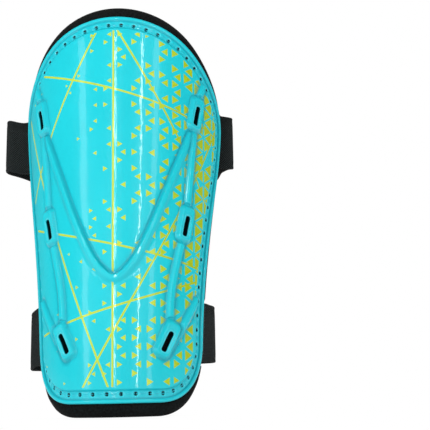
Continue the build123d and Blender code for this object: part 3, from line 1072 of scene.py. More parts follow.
@dataclass
class MouldedShell:
    """Outer shell: lip, stitching channel, raised panel, ribs, bosses with scoops and slots, stitch holes.

    Attributes:
        arch: Form that it follows.
        pattern: Its flat outline.
        wall: Its thickness.
        lip_width: Width of the raised lip.
        lip_foot: How much wider the lip is at its foot, on each side.
        lip_rise: How far the lip stands over the panel.
        flange: Distance from the edge to the foot of the panel.
        drop: Depth of the channel's floor below the panel.
        stitch_inset: Distance from the edge to the seam.
        stitch_pitch: Length of one stitch.
        hole_radius: Radius of a stitch hole.
        funnel_radius: Radius of the dimple round it.
        funnel_depth: Depth of the dimple.
        rib_width: Width of a rib.
        rib_height: Height of a rib over the panel.
        rib_skirt: How far a rib's foot spreads past its width.
        boss_height: Height of a boss over the panel.
        scoop_floor: Height of a scoop's floor over the panel at its lower end.
        slot_bead: Height of the bead round a slot.
        fine: Distance between mesh points on ribs and bosses.
        coarse: Distance between mesh points on the open panel.
        plain: Distance between mesh points on the back face.
        bands: Distances from the edge of the mesh's rows along it.
        funnel_rings: Radii of the mesh's rings round a stitch hole.
        ribs: Centre lines of the ribs on the right side, the V first.
        bosses: The bosses of the right side.
        edge_line: The shell's edge as a closed line.
        rib_lines: The ribs' centre lines as smooth curves.
    """

    arch: Arch
    pattern: FlatPattern
    wall: float = 2.6
    lip_width: float = 2.1
    lip_foot: float = 0.1
    lip_rise: float = 0.15
    flange: float = 7.0
    drop: float = 1.1
    stitch_inset: float = 4.7
    stitch_pitch: float = 7.6
    hole_radius: float = 0.7
    funnel_radius: float = 1.6
    funnel_depth: float = 0.5
    rib_width: float = 4.6
    rib_height: float = 1.5
    rib_skirt: float = 0.6
    boss_height: float = 1.7
    scoop_floor: float = 0.75
    slot_bead: float = 0.45
    fine: float = 0.55
    coarse: float = 2.4
    plain: float = 3.0
    bands: tuple[float, ...] = (0.12, 0.4, 0.8, 1.3, 1.75, 2.05, 2.25, 2.6, 3.0, 6.0, 6.3, 6.7, 7.1, 7.5)
    funnel_rings: tuple[float, ...] = (0.85, 1.1, 1.35, 1.6, 1.9)
    ribs: tuple[tuple[Pair, ...], ...] = (
        ((44.0, 40.0), (31.8, 13.5), (24.5, -3.8), (15.5, -23.0), (6.5, -36.5), (0.0, -40.5), (-6.5, -36.5)),
        ((47.0, 43.0), (44.0, 16.5), (42.0, -2.0)),
        ((38.5, -19.0), (33.5, -37.0), (30.8, -52.0), (30.2, -66.0)),
        ((50.5, 61.0), (52.5, 66.0), (55.5, 71.5)),
        ((48.5, -52.0), (38.5, -66.0), (27.5, -81.0)),
    )
    bosses: tuple[Boss, ...] = (Boss(48.6, 52.9, -12.0), Boss(40.7, -10.6, -12.5), Boss(28.9, -72.8, -27.0))
    edge_line: Points = field(init=False)
    rib_lines: list[Points] = field(init=False)

    def __post_init__(self) -> None:
        """Work out the lines that the relief is measured from."""
        loop = self.pattern.loop(0)
        self.edge_line = np.vstack([loop, loop[:1]])
        self.rib_lines = [curve_through(rib, pitch=1.5) for rib in self.ribs]

    def stitch_spots(self, first: float) -> tuple[Points, Points]:
        """Spots a stitch apart round the whole seam.

        Args:
            first: Share of a stitch at which the first spot lies past the top of the front line.

        Returns:
            Flat spots, and the flat way that the seam runs at each.
        """
        half = walk(self.pattern.half(), self.pattern.step)
        length = run_along(half)[-1]
        count = round(length / self.stitch_pitch)
        at = (np.arange(2 * count) + first) / count * length
        full = np.vstack([half, half[-2::-1] * (-1, 1)])
        run = run_along(full)
        before, after = (
            np.stack([np.interp((at + step) % run[-1], run, full[:, axis]) for axis in (0, 1)], axis=-1)
            for step in (-0.4, 0.4)
        )
        ways = unit(after - before)
        return (before + after) / 2 + self.stitch_inset * beside(ways), ways

    def shape_edge(self, edge: Points) -> tuple[Points, Points]:
        """Shape the lip, the channel and the step up to the panel.

        Args:
            edge: Distance of each spot from the shell's edge.

        Returns:
            Height over the panel's face, and the share of painted shade beside the lip and at the step.
        """
        crown = 0.5 * self.lip_width + self.lip_foot
        profile = np.sqrt(np.clip(1 - ((edge - crown) / crown) ** 4, 0, 1))
        lip = (self.drop + self.lip_rise) * profile - self.drop
        panel = self.drop * smooth(self.flange - 0.9, self.flange + 0.35, edge) - self.drop
        height = np.where(edge < self.lip_width + self.lip_foot, np.maximum(lip, -self.drop), panel)
        # Painted shade: dark lines at the inner foot of the lip and at the step up to the panel.
        crease = 0.9 * hump(self.lip_width + 0.35, 0.45, edge) + 0.5 * hump(self.flange - 0.7, 0.5, edge)
        return height, crease

    def raise_ribs(self, spots: Points, settled: Points, crease: Points) -> tuple[Points, Points]:
        """Raise the ribs. The V falls steeply on its inner side and gently on its outer side.

        Args:
            spots: Flat spots, all on the right side.
            settled: 1 where a rib stands at its full height, less near the channel.
            crease: Share of painted shade in the creases, which the ribs add to.

        Returns:
            Height of the ribs, and the distance from the nearest rib's centre line.
        """
        half = self.rib_width / 2
        away = np.full(len(spots), FAR)
        raised = np.zeros(len(spots))
        for index, line in enumerate(self.rib_lines):
            gap = distance_to(line, spots)
            away = np.minimum(away, gap)
            rib = self.rib_height * (1 - smooth(0.3 * half, half + self.rib_skirt, gap))
            near = np.flatnonzero(gap < 5)
            if index == 0 and len(near):
                inner = side_of(line, spots[near]) < 0
                steep = self.rib_height * (1 - smooth(0.45 * half, 0.95 * half, gap[near]))
                steep -= 0.35 * hump(half + 0.25, 0.6, gap[near])
                wide = self.rib_height * (1 - smooth(0.1 * half, half + 1.8, gap[near]))
                rib[near] = np.where(inner, steep, wide)
                # Painted shade beside the V, strong on its inner side and faint on its outer side.
                crease[near] += hump(half + 0.2, 0.9, gap[near]) * np.where(inner, 1.0, 0.25)
            else:
                rib -= 0.2 * hump(half + 0.8, 0.6, gap)
                # Painted shade along both sides of the other ribs.
                crease += 0.8 * hump(half + 0.6, 0.9, gap) * settled
            raised = np.where(np.abs(rib) > np.abs(raised), rib, raised)
        return raised, away

    def raise_boss(self, boss: Boss, spots: Points, raised: Points, crease: Points) -> tuple[Points, Points]:
        """Raise one boss, sink its scoop and bead its slot.

        Args:
            boss: The boss.
            spots: Flat spots, all on the right side.
            raised: Height before.
            crease: Share of painted shade in the creases before.

        Returns:
            Height and the share of painted shade in the creases, with the boss.
        """
        outside = boss.outside(spots, boss.size)
        top = self.boss_height * (1 - smooth(-1.7, 0.5, outside)) - 0.3 * hump(0.9, 0.5, outside)
        # Painted shade along the boss's edge, inside and outside it.
        crease = np.where(outside < 0, 0.35 * hump(0, 1.2, outside), crease)
        crease += 0.5 * hump(0.7, 0.8, outside) * (outside >= 0)
        near = 1 - smooth(0.4, 2.0, outside)
        merged = np.maximum(raised * (1 - near) + top * near, top)
        raised = np.where(outside < 2.0, merged, raised)
        floor = [self.scoop_floor, self.boss_height]
        ramp = np.interp(boss.local(spots)[:, 1], [0.0, boss.scoop[1] / 2], floor)
        into = 1 - smooth(-1.5, 0.4, boss.outside(spots, boss.scoop))
        raised = raised * (1 - into) + np.minimum(ramp, raised) * into
        slot = boss.slot_gap(spots)
        return raised + self.slot_bead * hump(0.4, 0.4, slot) * (slot < 2), crease

    def relief(self, spots: Points, holes: Points) -> Relief:
        """Work out the moulded face at each spot.

        Args:
            spots: Flat spots inside the outline.
            holes: Flat spots of the stitch holes.

        Returns:
            The face's height and what its material reads.
        """
        one_side = to_right(spots)
        edge = distance_to(self.edge_line, spots)
        settled = smooth(self.flange - 1.2, self.flange + 1.5, edge)
        height, crease = self.shape_edge(edge)
        raised, rib_away = self.raise_ribs(one_side, settled, crease)
        for boss in self.bosses:
            raised, crease = self.raise_boss(boss, one_side, raised, crease)
        boss_away = np.min([boss.outside(one_side, boss.size) for boss in self.bosses], axis=0)
        slot_away = np.min([boss.slot_gap(one_side) for boss in self.bosses], axis=0)
        height = height + raised * settled
        gaps = np.full(len(spots), FAR)
        for hole in holes:
            near = np.flatnonzero(np.abs(spots - hole).max(axis=1) < 3)
            gaps[near] = np.minimum(gaps[near], np.linalg.norm(spots[near] - hole, axis=1))
        height -= self.funnel_depth * (1 - smooth(self.hole_radius, self.funnel_radius, gaps))
        height += 0.06 * hump(self.funnel_radius + 0.1, 0.35, gaps)
        unprinted = [self.rib_width / 2 + 0.35 - rib_away, 0.6 - boss_away, self.flange + 1.3 - edge]
        # Painted highlights: light rings round the stitch holes and round the slots.
        painted_highlight = 0.22 * hump(self.funnel_radius - 0.2, 0.4, gaps) + 0.45 * hump(0.45, 0.35, slot_away)
        # Painted shade at the rims of the stitch holes.
        hole_shade = 1 - smooth(self.hole_radius + 0.02, self.hole_radius + 0.22, gaps)
        return Relief(height, np.max(unprinted, axis=0), painted_highlight, np.clip(crease, 0, 1), hole_shade)

    def darkness(self, spots: Points) -> Points:
        """How dark the walls are at the shell's back face: the slots' inner walls still catch light.

        Args:
            spots: Flat spots on the back face.

        Returns:
            0 for lit and 1 for dark, for each spot.
        """
        one_side = to_right(spots)
        dark = np.ones(len(spots))
        for boss in self.bosses:
            near = boss.slot_gap(one_side) < 0.8
            dark[near] = smooth(-0.9, 0.2, boss.local(one_side[near])[:, 0])
        return dark

    def filling(self, outline: Points, pitch: float, busy: bool) -> Points:
        """Choose points of a lattice on the panel, either where the relief is busy or where it is plain.

        Args:
            outline: The shell's outline.
            pitch: Distance between neighbours.
            busy: True for the points on ribs and bosses, False for the others.

        Returns:
            Flat points.
        """
        spots = lattice(outline.min(axis=0), outline.max(axis=0), pitch)
        spots = spots[(distance_to(self.edge_line, spots) > self.bands[-1] + 0.4) & inside(outline, spots)]
        one_side = to_right(spots)
        on = np.zeros(len(spots), bool)
        for line in self.rib_lines:
            on |= distance_to(line, one_side) < self.rib_width / 2 + 1.6
        clear = np.ones(len(spots), bool)
        for boss in self.bosses:
            on |= boss.outside(one_side, boss.size) < 1.8
            clear &= boss.slot_gap(one_side) > 0.3
        return spots[(on == busy) & clear]

    def back_filling(self, outline: Points) -> Points:
        """Choose the points of the plain back face, clear of its edge and its slots.

        Args:
            outline: The shell's outline.

        Returns:
            Flat points.
        """
        spots = lattice(outline.min(axis=0), outline.max(axis=0), self.plain)
        spots = spots[inside(self.pattern.loop(2.0), spots)]
        for boss in self.bosses:
            spots = spots[boss.slot_gap(to_right(spots)) > 1.0]
        return spots

    def face_normals(self, front: Points, holes: Points) -> Points:
        """Measure which way the moulded face looks at each spot.

        Args:
            front: Flat spots.
            holes: Flat spots of the stitch holes.

        Returns:
            Unit vectors.
        """
        step = 0.04
        moves = []
        for move in ((step, 0), (-step, 0), (0, step), (0, -step)):
            moves.append(self.arch.place(front + move, -self.relief(front + move, holes).height))
        return unit(np.cross(moves[0] - moves[1], moves[2] - moves[3]))

    def build(self, material: Material) -> Object:
        """Build the shell as one closed mesh.

        Args:
            material: The moulded plastic.

        Returns:
            The shell, riding on the guard.
        """
        holes, _ = self.stitch_spots(0.5)
        ring = circle(np.linspace(0, 2 * math.pi, 12, endpoint=False))
        loops = [self.pattern.loop(0)]
        for boss in self.bosses:
            slot = boss.slot_loop(0.5)
            loops += [slot, slot[::-1] * (-1, 1)]
        loops += [hole + self.hole_radius * ring for hole in holes]
        bands = [self.pattern.loop(inset) for inset in self.bands]
        funnels = [hole + radius * ring for hole in holes for radius in self.funnel_rings]
        chosen = [self.filling(loops[0], self.fine, True), self.filling(loops[0], self.coarse, False)]
        front, faces, rings = triangulate(loops, np.vstack([*bands, *funnels, *chosen]))
        back, back_faces, back_rings = triangulate(loops, self.back_filling(loops[0]))
        face = self.relief(front, holes)
        points = np.vstack([self.arch.place(front, -face.height), self.arch.place(back, self.wall)])
        count = len(front)
        walls = [wall for near, far in zip(rings, back_rings) for wall in loop_walls([near, far + count])]
        obj = make_object("moulded_shell", points, [*faces, *(back_faces[:, ::-1] + count), *walls], material)
        none = np.zeros(len(back))
        give(obj, "flat", np.vstack([np.column_stack([front, face.height]), np.column_stack([back, none])]))
        # The back face takes no painted highlight and no painted shade of the creases; the walls of its slots
        # and holes take painted shade towards the back.
        fills = {"bare": none + 9.0, "painted_highlight": none, "crease": none, "hole_shade": self.darkness(back)}
        for name, fill in fills.items():
            give(obj, name, np.concatenate([getattr(face, name), fill]))
        mesh = obj.data
        normals = np.vstack([self.face_normals(front, holes), -self.arch.out(back)])
        corner_normals = np.zeros((len(mesh.loops), 3))
        corners = np.empty(len(mesh.loops), int)
        mesh.loops.foreach_get("vertex_index", corners)
        moulded = len(faces) + len(back_faces)
        corner_normals[: 3 * moulded] = normals[corners[: 3 * moulded]]
        for polygon in mesh.polygons[moulded:]:
            corner_normals[polygon.loop_start : polygon.loop_start + polygon.loop_total] = polygon.normal
        mesh.normals_split_custom_set(corner_normals.tolist())
        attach(obj, "root")
        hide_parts("shell")
        return obj


@dataclass
class PerimeterSeam:
    """Lock stitches that hold the shell to the pad: one in each gap between the holes, outside and inside.

    Attributes:
        arch: Form that it follows.
        shell: Shell whose holes it runs through.
        inner_depth: Depth of the lining's face below the shell's outer face.
        outer: Stitch on the shell, which dives at the rims of its holes.
        inner: Stitch on the lining.
    """

    arch: Arch
    shell: MouldedShell
    inner_depth: float = 9.6
    outer: Strand = Strand(((-3.25, -1.2), (-2.7, 0.38), (2.7, 0.38), (3.25, -1.2)), 0.5, 10)
    inner: Strand = Strand(((-3.6, -0.5), (-2.8, 0.45), (2.8, 0.45), (3.6, -0.5)), 0.72, 8)

    def build(self, thread: Material) -> list[Object]:
        """Build the seam.

        Args:
            thread: Material of the sewing thread.

        Returns:
            The outer stitches and the inner stitches.
        """
        spots, ways = self.shell.stitch_spots(0.0)
        normals = self.arch.out(spots)
        runs = self.arch.place(spots + 0.3 * ways, 0) - self.arch.place(spots - 0.3 * ways, 0)
        floor = self.arch.place(spots, self.shell.drop)
        outer = self.outer.lay("perimeter_thread", floor, runs, normals, thread)
        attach(outer, "root")
        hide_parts("perimeter_stitching")
        back = self.arch.place(spots, self.inner_depth)
        inner = self.inner.lay("perimeter_bobbin_thread", back, runs, -normals, thread)
        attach(inner, "root")
        return [outer, inner]


@dataclass
class CushionedBack:
    """Foam pad with a rounded edge, and the stretch-knit lining on its inner face.

    Attributes:
        arch: Form that they follow.
        pattern: The shell's flat outline.
        strap_levels: Heights of the calf straps.
        margin: How far the pad stands out past the shell.
        thickness: Thickness of the pad.
        shell_wall: Thickness of the shell in front of it.
        lining: Thickness of the lining.
        swell: How far the foam swells along its edge.
        swell_at: Distance from the edge where it swells most.
        sunk: How far the foam is pressed in under the webbing's sewn ends.
        rows: Distances from the rounded edge of the mesh's rows along it.
        fill_pitch: Distance between mesh points inside those rows.
    """

    arch: Arch
    pattern: FlatPattern
    strap_levels: tuple[float, ...]
    margin: float = 7.0
    thickness: float = 6.0
    shell_wall: float = 2.6
    lining: float = 1.0
    swell: float = 0.8
    swell_at: float = 4.0
    sunk: float = 1.75
    rows: tuple[float, ...] = (1.5, 3.0, 4.5, 6.0, 8.0, 11.0)
    fill_pitch: float = 3.0

    def puff(self, flat: Points) -> Points:
        """Swell the foam along its edge and sink it under the webbing.

        Args:
            flat: Flat spots on the pad's front face.

        Returns:
            Height over the plain face.
        """
        edge = self.pattern.loop(-self.margin)
        away = distance_to(np.vstack([edge, edge[:1]]), flat)
        puff = self.swell * hump(self.swell_at, 3.0, away)
        for level in self.strap_levels:
            pressed = 1 - smooth(16.2, 18.5, np.abs(flat[:, 1] - level))
            pressed = pressed * (1 - smooth(19.5, 22.5, away))
            puff = puff * (1 - pressed) - self.sunk * pressed
        return puff

    def rounded(
        self, name: str, front: float, back: float, nose: float, puffed: bool, material: Material
    ) -> Object:
        """Build a closed layer with rounded edges that follows the arch.

        Args:
            name: Name of the object.
            front: Depth of its front face below the shell's outer face.
            back: Depth of its back face.
            nose: How far the edge's rounding reaches in.
            puffed: Whether its front face swells and sinks as foam does.
            material: What it is made of.

        Returns:
            The layer.
        """
        inner = self.pattern.loop(nose - self.margin)
        rows = [self.pattern.loop(nose - self.margin + inset) for inset in self.rows]
        filling = lattice(inner.min(axis=0), inner.max(axis=0), self.fill_pitch)
        filling = filling[inside(self.pattern.loop(nose + 6.0), filling)]
        flat, faces, (rim,) = triangulate([inner], np.vstack([*rows, filling]))
        count = len(flat)
        puff = self.puff(flat) if puffed else 0.0
        points = [self.arch.place(flat, front - puff), self.arch.place(flat, back)]
        flats, rings, first = [flat, flat], [rim], 2 * count
        for turn in np.linspace(0, math.pi, 13)[1:-1]:
            loop = self.pattern.loop(nose * (1 - math.sin(turn)) - self.margin)
            points.append(self.arch.place(loop, (front + back) / 2 - (back - front) / 2 * math.cos(turn)))
            flats.append(loop)
            rings.append(np.arange(len(loop)) + first)
            first += len(loop)
        walls = loop_walls([*rings, rim + count])
        obj = make_object(name, np.vstack(points), [*faces, *(faces[:, ::-1] + count), *walls], material)
        give(obj, "flat", np.column_stack([np.vstack(flats), np.zeros(first)]))
        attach(obj, "root")
        return obj

    def build(self, foam: Material, knit: Material) -> list[Object]:
        """Build the pad and its lining.

        Args:
            foam: Material of the pad.
            knit: Material of the lining.

        Returns:
            The pad and the lining.
        """
        front = self.shell_wall + 0.05
        back = self.shell_wall + self.thickness
        pad = self.rounded("foam_pad_soft", front, back, 2.6, True, foam)
        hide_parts("foam_pad")
        lining = self.rounded("knit_lining", back, back + self.lining, 0.5, False, knit)
        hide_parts("lining")
        outline = self.pattern.loop(-self.margin)
        return [pad, lining]


# ---------------------------------------------------------------- the straps
class Side(Enum):
    """Side of the guard, by the sign of its x."""

    RIGHT = 1
    LEFT = -1


@dataclass(frozen=True)
class Route:
    """Way of webbing past its fold, seen from above, as rounded corners.

    Attributes:
        corners: x, y and radius of each corner beside the calf.
        bend: x and radius of the corner behind the calf.
        sway: How far the soft webbing rides up beside the calf.
    """

    corners: tuple[Triple, ...]
    bend: Pair
    sway: float = 0.0


@dataclass(frozen=True)
class Level:
    """One calf strap's place.

    Attributes:
        name: Name that its pieces start with.
        z: Height of its middle.
        routes: Route of each half.
    """

    name: str
    z: float
    routes: dict[Side, Route]


@dataclass
class StrapHalf:
    """Half of a calf strap: a webbing strip from its sewn end to the closure, with that end's stitches.

    Attributes:
        arch: Form that the sewn end follows.
        pattern: The shell's flat outline.
        level: The strap that it belongs to.
        side: Its side.
        width: Width of the webbing.
        thick: Thickness of the webbing.
        tuck: How far its end runs in under the shell, from the shell's edge.
        margin: How far the pad stands out past the shell.
        depth: Depth of its outer face below the shell's outer face, where it is sewn.
        past: How far the free end runs past the middle.
        columns: Distances of the zigzag rows from the shell's edge.
        zigzag: One stitch of a zigzag row.
    """

    arch: Arch
    pattern: FlatPattern
    level: Level
    side: Side
    width: float = 32.0
    thick: float = 1.6
    tuck: float = 13.0
    margin: float = 7.0
    depth: float = 2.63
    past: float = 23.0
    columns: tuple[float, ...] = (1.5, 3.5, 5.5)
    zigzag: Strand = Strand(((-1.15, -0.35), (-0.8, 0.36), (0.8, 0.36), (1.15, -0.35)), 0.5, 5)

    @property
    def name(self) -> str:
        """Name that the half's pieces start with."""
        return f"{self.level.name}_{self.side.name.lower()}"

    def edge(self, z: Points | float) -> Points:
        """Half width of the shell at each height, round the arch."""
        half = self.pattern.half()
        return np.interp(-np.asarray(z), -half[:, 1], half[:, 0])

    def route(self) -> tuple[Points, Points, int]:
        """Walk the webbing's outer face from the sewn end to the free end.

        Returns:
            Points seen from above as for the right side, the ways that they face, and the fold's number.
        """
        radius = float(self.arch.radius(self.level.z))
        edge = float(self.edge(self.level.z))
        route = self.level.routes[self.side]
        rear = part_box(f"{self.name}_strap")[1].y / MM
        turns = np.linspace((edge - self.tuck) / radius, (edge + self.margin) / radius, 24)
        sewn = (0, self.arch.front_y + radius) + (radius - self.depth) * circle(turns - QUARTER)
        start = sewn[-1]
        stops = [start, *(corner[:2] for corner in route.corners), (route.bend[0], rear), (-self.past, rear)]
        stops = [np.array(stop, float) for stop in stops]
        radii = [corner[2] for corner in route.corners] + [route.bend[1]]
        arcs = [round_corner(*parts) for parts in zip(stops, stops[1:], stops[2:], radii)]
        line = walk(np.vstack([sewn, *arcs, stops[-1:]]), 1.0)
        out = beside(unit(np.gradient(line, axis=0)))
        return line, out, int(np.argmin(np.linalg.norm(line - start, axis=1)))

    def section(self) -> Points:
        """Closed outline of the webbing's section, with thin, rounded selvedges. Returns its points."""
        across = np.array([0.0, 0.25, 0.5, 0.7, 0.88, 0.95, 0.985, 1.0])
        across = np.concatenate([-across[:0:-1], across])
        half = self.width / 2
        near_edge = np.maximum(0, np.abs(across) * half - half + 0.8)
        bulge = self.thick / 2 * np.sqrt(np.clip(1 - (near_edge / 0.85) ** 2, 0.02, 1))
        bulge -= 0.12 * hump(0.885, 0.05, np.abs(across))
        outer = np.stack([across * half, bulge - self.thick / 2], axis=-1)
        inner = np.stack([across[::-1] * half, -bulge[::-1] - self.thick / 2], axis=-1)
        return np.vstack([outer, inner])

    def build(self, webbing: Material) -> Object:
        """Build the webbing as one strip that bends at the fold.

        Args:
            webbing: Material of the strip.

        Returns:
            The strip.
        """
        line, out, fold = self.route()
        section = self.section()
        radius = float(self.arch.radius(self.level.z))
        steps = np.arange(len(line), dtype=float)
        pinch = 1 - 0.25 * hump(fold, 1.3, steps)
        held = 1 - smooth(fold, fold + 14, steps)
        sway = self.level.routes[self.side].sway * smooth(fold + 4, fold + 24, steps)
        sway *= 1 - smooth(fold + 34, fold + 74, steps)
        lift = (section[:, 1] + self.thick / 2) * pinch[:, None] - self.thick / 2
        lean = self.arch.taper * section[:, 0] / (radius - self.depth) * held[:, None]
        from_axis = line[: fold + 1] - (0, self.arch.front_y + radius)
        from_axis = from_axis[np.minimum(steps, fold).astype(int)]
        x, y = (line[:, [i]] + out[:, [i]] * lift + lean * from_axis[:, [i]] for i in (0, 1))
        z = self.level.z + section[:, 0] + sway[:, None]
        points = np.stack([self.side.value * x, y, z], axis=-1)
        flat = np.stack(np.broadcast_arrays(run_along(line)[:, None], section[:, 0], lift), axis=-1)
        rings = np.arange(points.shape[0] * points.shape[1]).reshape(points.shape[:2])
        faces = [*loop_walls(rings), tuple(rings[0])[::-1], tuple(rings[-1])]
        if self.side is Side.RIGHT:
            faces = [face[::-1] for face in faces]
        obj = make_object(f"{self.name}_webbing", points.reshape(-1, 3), faces, webbing)
        give(obj, "flat", flat.reshape(-1, 3))
        f"{self.name}_half"
        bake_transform(obj)
        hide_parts(f"{self.name}_strap_end", f"{self.name}_strap")
        return obj

    def end_stitches(self) -> tuple[Points, Points, Points]:
        """Place the zigzag stitches of the sewn end.

        Returns:
            Middles, directions and outward ways of the stitches, in space.
        """
        heights = self.level.z + np.arange(-14.4, 14.41, 1.8)
        swing = 0.75 * (-1.0) ** np.arange(len(heights))
        middles, ways, outs = [], [], []
        for column in self.columns:
            spots = np.stack([self.edge(heights) + column + swing, heights], axis=-1)
            corners = self.arch.place(spots, self.depth)
            middles.append((corners[1:] + corners[:-1]) / 2)
            ways.append(corners[1:] - corners[:-1])
            outs.append(self.arch.out((spots[1:] + spots[:-1]) / 2))
        flip = (self.side.value, 1, 1)
        return np.vstack(middles) * flip, np.vstack(ways) * flip, np.vstack(outs) * flip


@dataclass
class Closure:
    """Hook tab under the right half's end, loop patch on the left half's end, and the seams round them.

    Real hooks and loops stand closer than these, which are spaced out so that they show.

    Attributes:
        level: The strap that it closes.
        inset: Distance of the seams from a tape's edge.
        corner: Corner radius of a tape.
        base: Thickness of a tape without its pile.
        stitch_pitch: Distance between the stitches of its seams.
        stitch: One stitch of its seams.
        hook: One hook.
        loop: One loop.
        hook_pitch: Distance between hooks.
        loop_pitch: Distance between loops.
        seed: Seed of the pile's scatter.
    """

    level: Level
    inset: float = 2.0
    corner: float = 4.0
    base: float = 0.6
    stitch_pitch: float = 3.4
    stitch: Strand = Strand(((-1.35, -0.4), (-1.0, 0.42), (1.0, 0.42), (1.35, -0.4)), 0.55, 6)
    hook: Strand = Strand(((0.0, -0.1), (0.0, 0.55), (0.34, 0.72), (0.36, 0.3)), 0.15, 5, 4)
    loop: Strand = Strand(((-0.28, -0.1), (-0.3, 0.62), (0.3, 0.7), (0.26, 0.0)), 0.1, 6, 4)
    hook_pitch: float = 1.15
    loop_pitch: float = 0.85
    seed: int = 7

    def plate(self, node: str, near: float, far: float, material: Material) -> Object:
        """Build a rounded plate of tape.

        Args:
            node: CAD node whose width and height it takes.
            near: y of its front face, in millimetres.
            far: y of its rear face.
            material: What it is made of.

        Returns:
            The plate.
        """
        middle, half = self.face_of(node)
        rim = rounded_corners(2 * half[0], 2 * half[1], self.corner)
        ease = 0.2 * (far - near)
        points = []
        for shrink, y in (
            (0.25, near),
            (0.06, near + ease),
            (0.0, (near + far) / 2),
            (0.06, far - ease),
            (0.25, far),
        ):
            x, z = (middle + rim * (1 - shrink / half)).T
            points.append(np.stack([x, np.full(len(rim), y), z], axis=-1))
        rings = np.arange(len(points) * len(rim)).reshape(len(points), -1)
        faces = [*loop_walls(rings), tuple(rings[0])[::-1], tuple(rings[-1])]
        return make_object(f"{node}_base", np.vstack(points), [face[::-1] for face in faces], material)

    @staticmethod
    def face_of(node: str) -> tuple[Points, Points]:
        """Middle and half size of a CAD node as (x, z), in millimetres."""
        low, high = (np.array(corner)[[0, 2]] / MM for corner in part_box(node))
        return (low + high) / 2, (high - low) / 2

    def pile(self, node: str, pitch: float) -> tuple[Points, Points]:
        """Scatter the places of hooks or loops over a plate, clear of its seam.

        Args:
            node: CAD node of the plate.
            pitch: Distance between neighbours.

        Returns:
            Places as (x, z), and a way in the plate's face for each.
        """
        middle, half = self.face_of(node)
        spots = lattice(middle - half + 0.9, middle + half - 0.9, pitch)
        away = np.abs(spots - middle)
        seam = half - self.inset
        beside_seam = (np.abs(away[:, 0] - seam[0]) < 0.5) & (away[:, 1] <= seam[1])
        above_seam = (np.abs(away[:, 1] - seam[1]) < 0.5) & (away[:, 0] < seam[0])
        past = np.linalg.norm(np.maximum(away - half + self.corner, 0), axis=1) > self.corner - 0.5
        spots = spots[~(beside_seam | above_seam | past)]
        chance = np.random.default_rng(self.seed)
        turns = chance.uniform(0, 2 * math.pi, len(spots))
        return spots + chance.normal(0, 0.1, spots.shape), circle(turns)

    def border(self, node: str) -> tuple[Points, Points]:
        """Place a rectangle of stitches a little inside a plate's edge.

        Args:
            node: CAD node of the plate.

        Returns:
            Places as (x, z), and the way of each stitch.
        """
        middle, half = self.face_of(node)
        half = half - self.inset
        spots, ways = [], []
        for axis in (0, 1):
            count = round(2 * half[axis] / self.stitch_pitch)
            at = (np.arange(count) + 0.5) / count * 2 * half[axis] - half[axis]
            for sign in (-1, 1):
                row = np.zeros((count, 2))
                row[:, axis], row[:, 1 - axis] = at, sign * half[1 - axis]
                spots.append(middle + row)
                ways.append(np.tile(np.eye(2)[axis], (count, 1)))
        return np.vstack(spots), np.vstack(ways)

    @staticmethod
    def lay(
        strand: Strand, name: str, flat: tuple[Points, Points], y: float, facing: int, material: Material
    ) -> Object:
        """Lay strands on a level face that looks along y.

        Args:
            strand: Shape of each.
            name: Name of the object.
            flat: Places and ways as (x, z).
            y: Where the face lies, in millimetres.
            facing: 1 where the face looks towards +Y, -1 towards -Y.
            material: What they are made of.

        Returns:
            The strands' mesh.
        """
        spots, ways = (np.insert(part, 1, level, axis=1) for part, level in zip(flat, (y, 0.0)))
        outs = np.tile((0.0, float(facing), 0.0), (len(spots), 1))
        return strand.lay(name, spots, ways, outs, material)

    def build(self, hooks: Material, loops: Material, thread: Material) -> list[Object]:
        """Build both tapes and their seams.

        Args:
            hooks: Material of the hook tape.
            loops: Material of the loop tape.
            thread: Material of the sewing thread.

        Returns:
            Every piece of the closure.
        """
        name = self.level.name
        pieces = []
        for node, side, facing, material, strand, pitch, slot in (
            (f"{name}_hook_tab", Side.RIGHT, -1, hooks, self.hook, self.hook_pitch, "hook_tape"),
            (f"{name}_loop_patch", Side.LEFT, 1, loops, self.loop, self.loop_pitch, "loop_tape"),
        ):
            low, high = (corner.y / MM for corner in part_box(node))
            near, far = (high - self.base, high) if facing < 0 else (low, low + self.base)
            face = near if facing < 0 else far
            body = f"{name}_{side.name.lower()}_half"
            plate = self.plate(node, near, far, material)
            pile = self.lay(strand, f"{node}_pile", self.pile(node, pitch), face, facing, material)
            seam = self.lay(self.stitch, f"{node}_seam", self.border(node), face, facing, thread)
            for piece in (plate, pile, seam):
                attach(piece, body)
            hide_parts(node)
            pieces += [plate, pile, seam]
        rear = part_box(f"{name}_right_strap")[1].y / MM
        border = self.border(f"{name}_hook_tab")
        box = self.lay(self.stitch, f"{name}_box_stitches", border, rear, 1, thread)
        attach(box, f"{name}_right_half")
        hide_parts(f"{name}_tab_stitching")
        return [*pieces, box]


@dataclass
class CalfStrap:
    """One calf strap: both halves of webbing, the stitches of their sewn ends, and the closure.

    Attributes:
        arch: Form that the sewn ends follow.
        pattern: The shell's flat outline.
        level: Its place and its halves' routes.
    """

    arch: Arch
    pattern: FlatPattern
    level: Level

    def build(self, webbing: Material, hooks: Material, loops: Material, thread: Material) -> list[Object]:
        """Build the strap.

        Args:
            webbing: Material of the webbing.
            hooks: Material of the hook tape.
            loops: Material of the loop tape.
            thread: Material of the sewing thread.

        Returns:
            Every piece of the strap.
        """
        name = self.level.name
        halves = [StrapHalf(self.arch, self.pattern, self.level, side) for side in Side]
        strips = [half.build(webbing) for half in halves]
        seams = zip(*(half.end_stitches() for half in halves))
        middles, ways, outs = (np.vstack(parts) for parts in seams)
        ends = StrapHalf.zigzag.lay(f"{name}_end_zigzag", middles, ways, outs, thread)
        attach(ends, "root")
        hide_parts(f"{name}_end_stitching")
        return [*strips, ends, *Closure(self.level).build(hooks, loops, thread)]


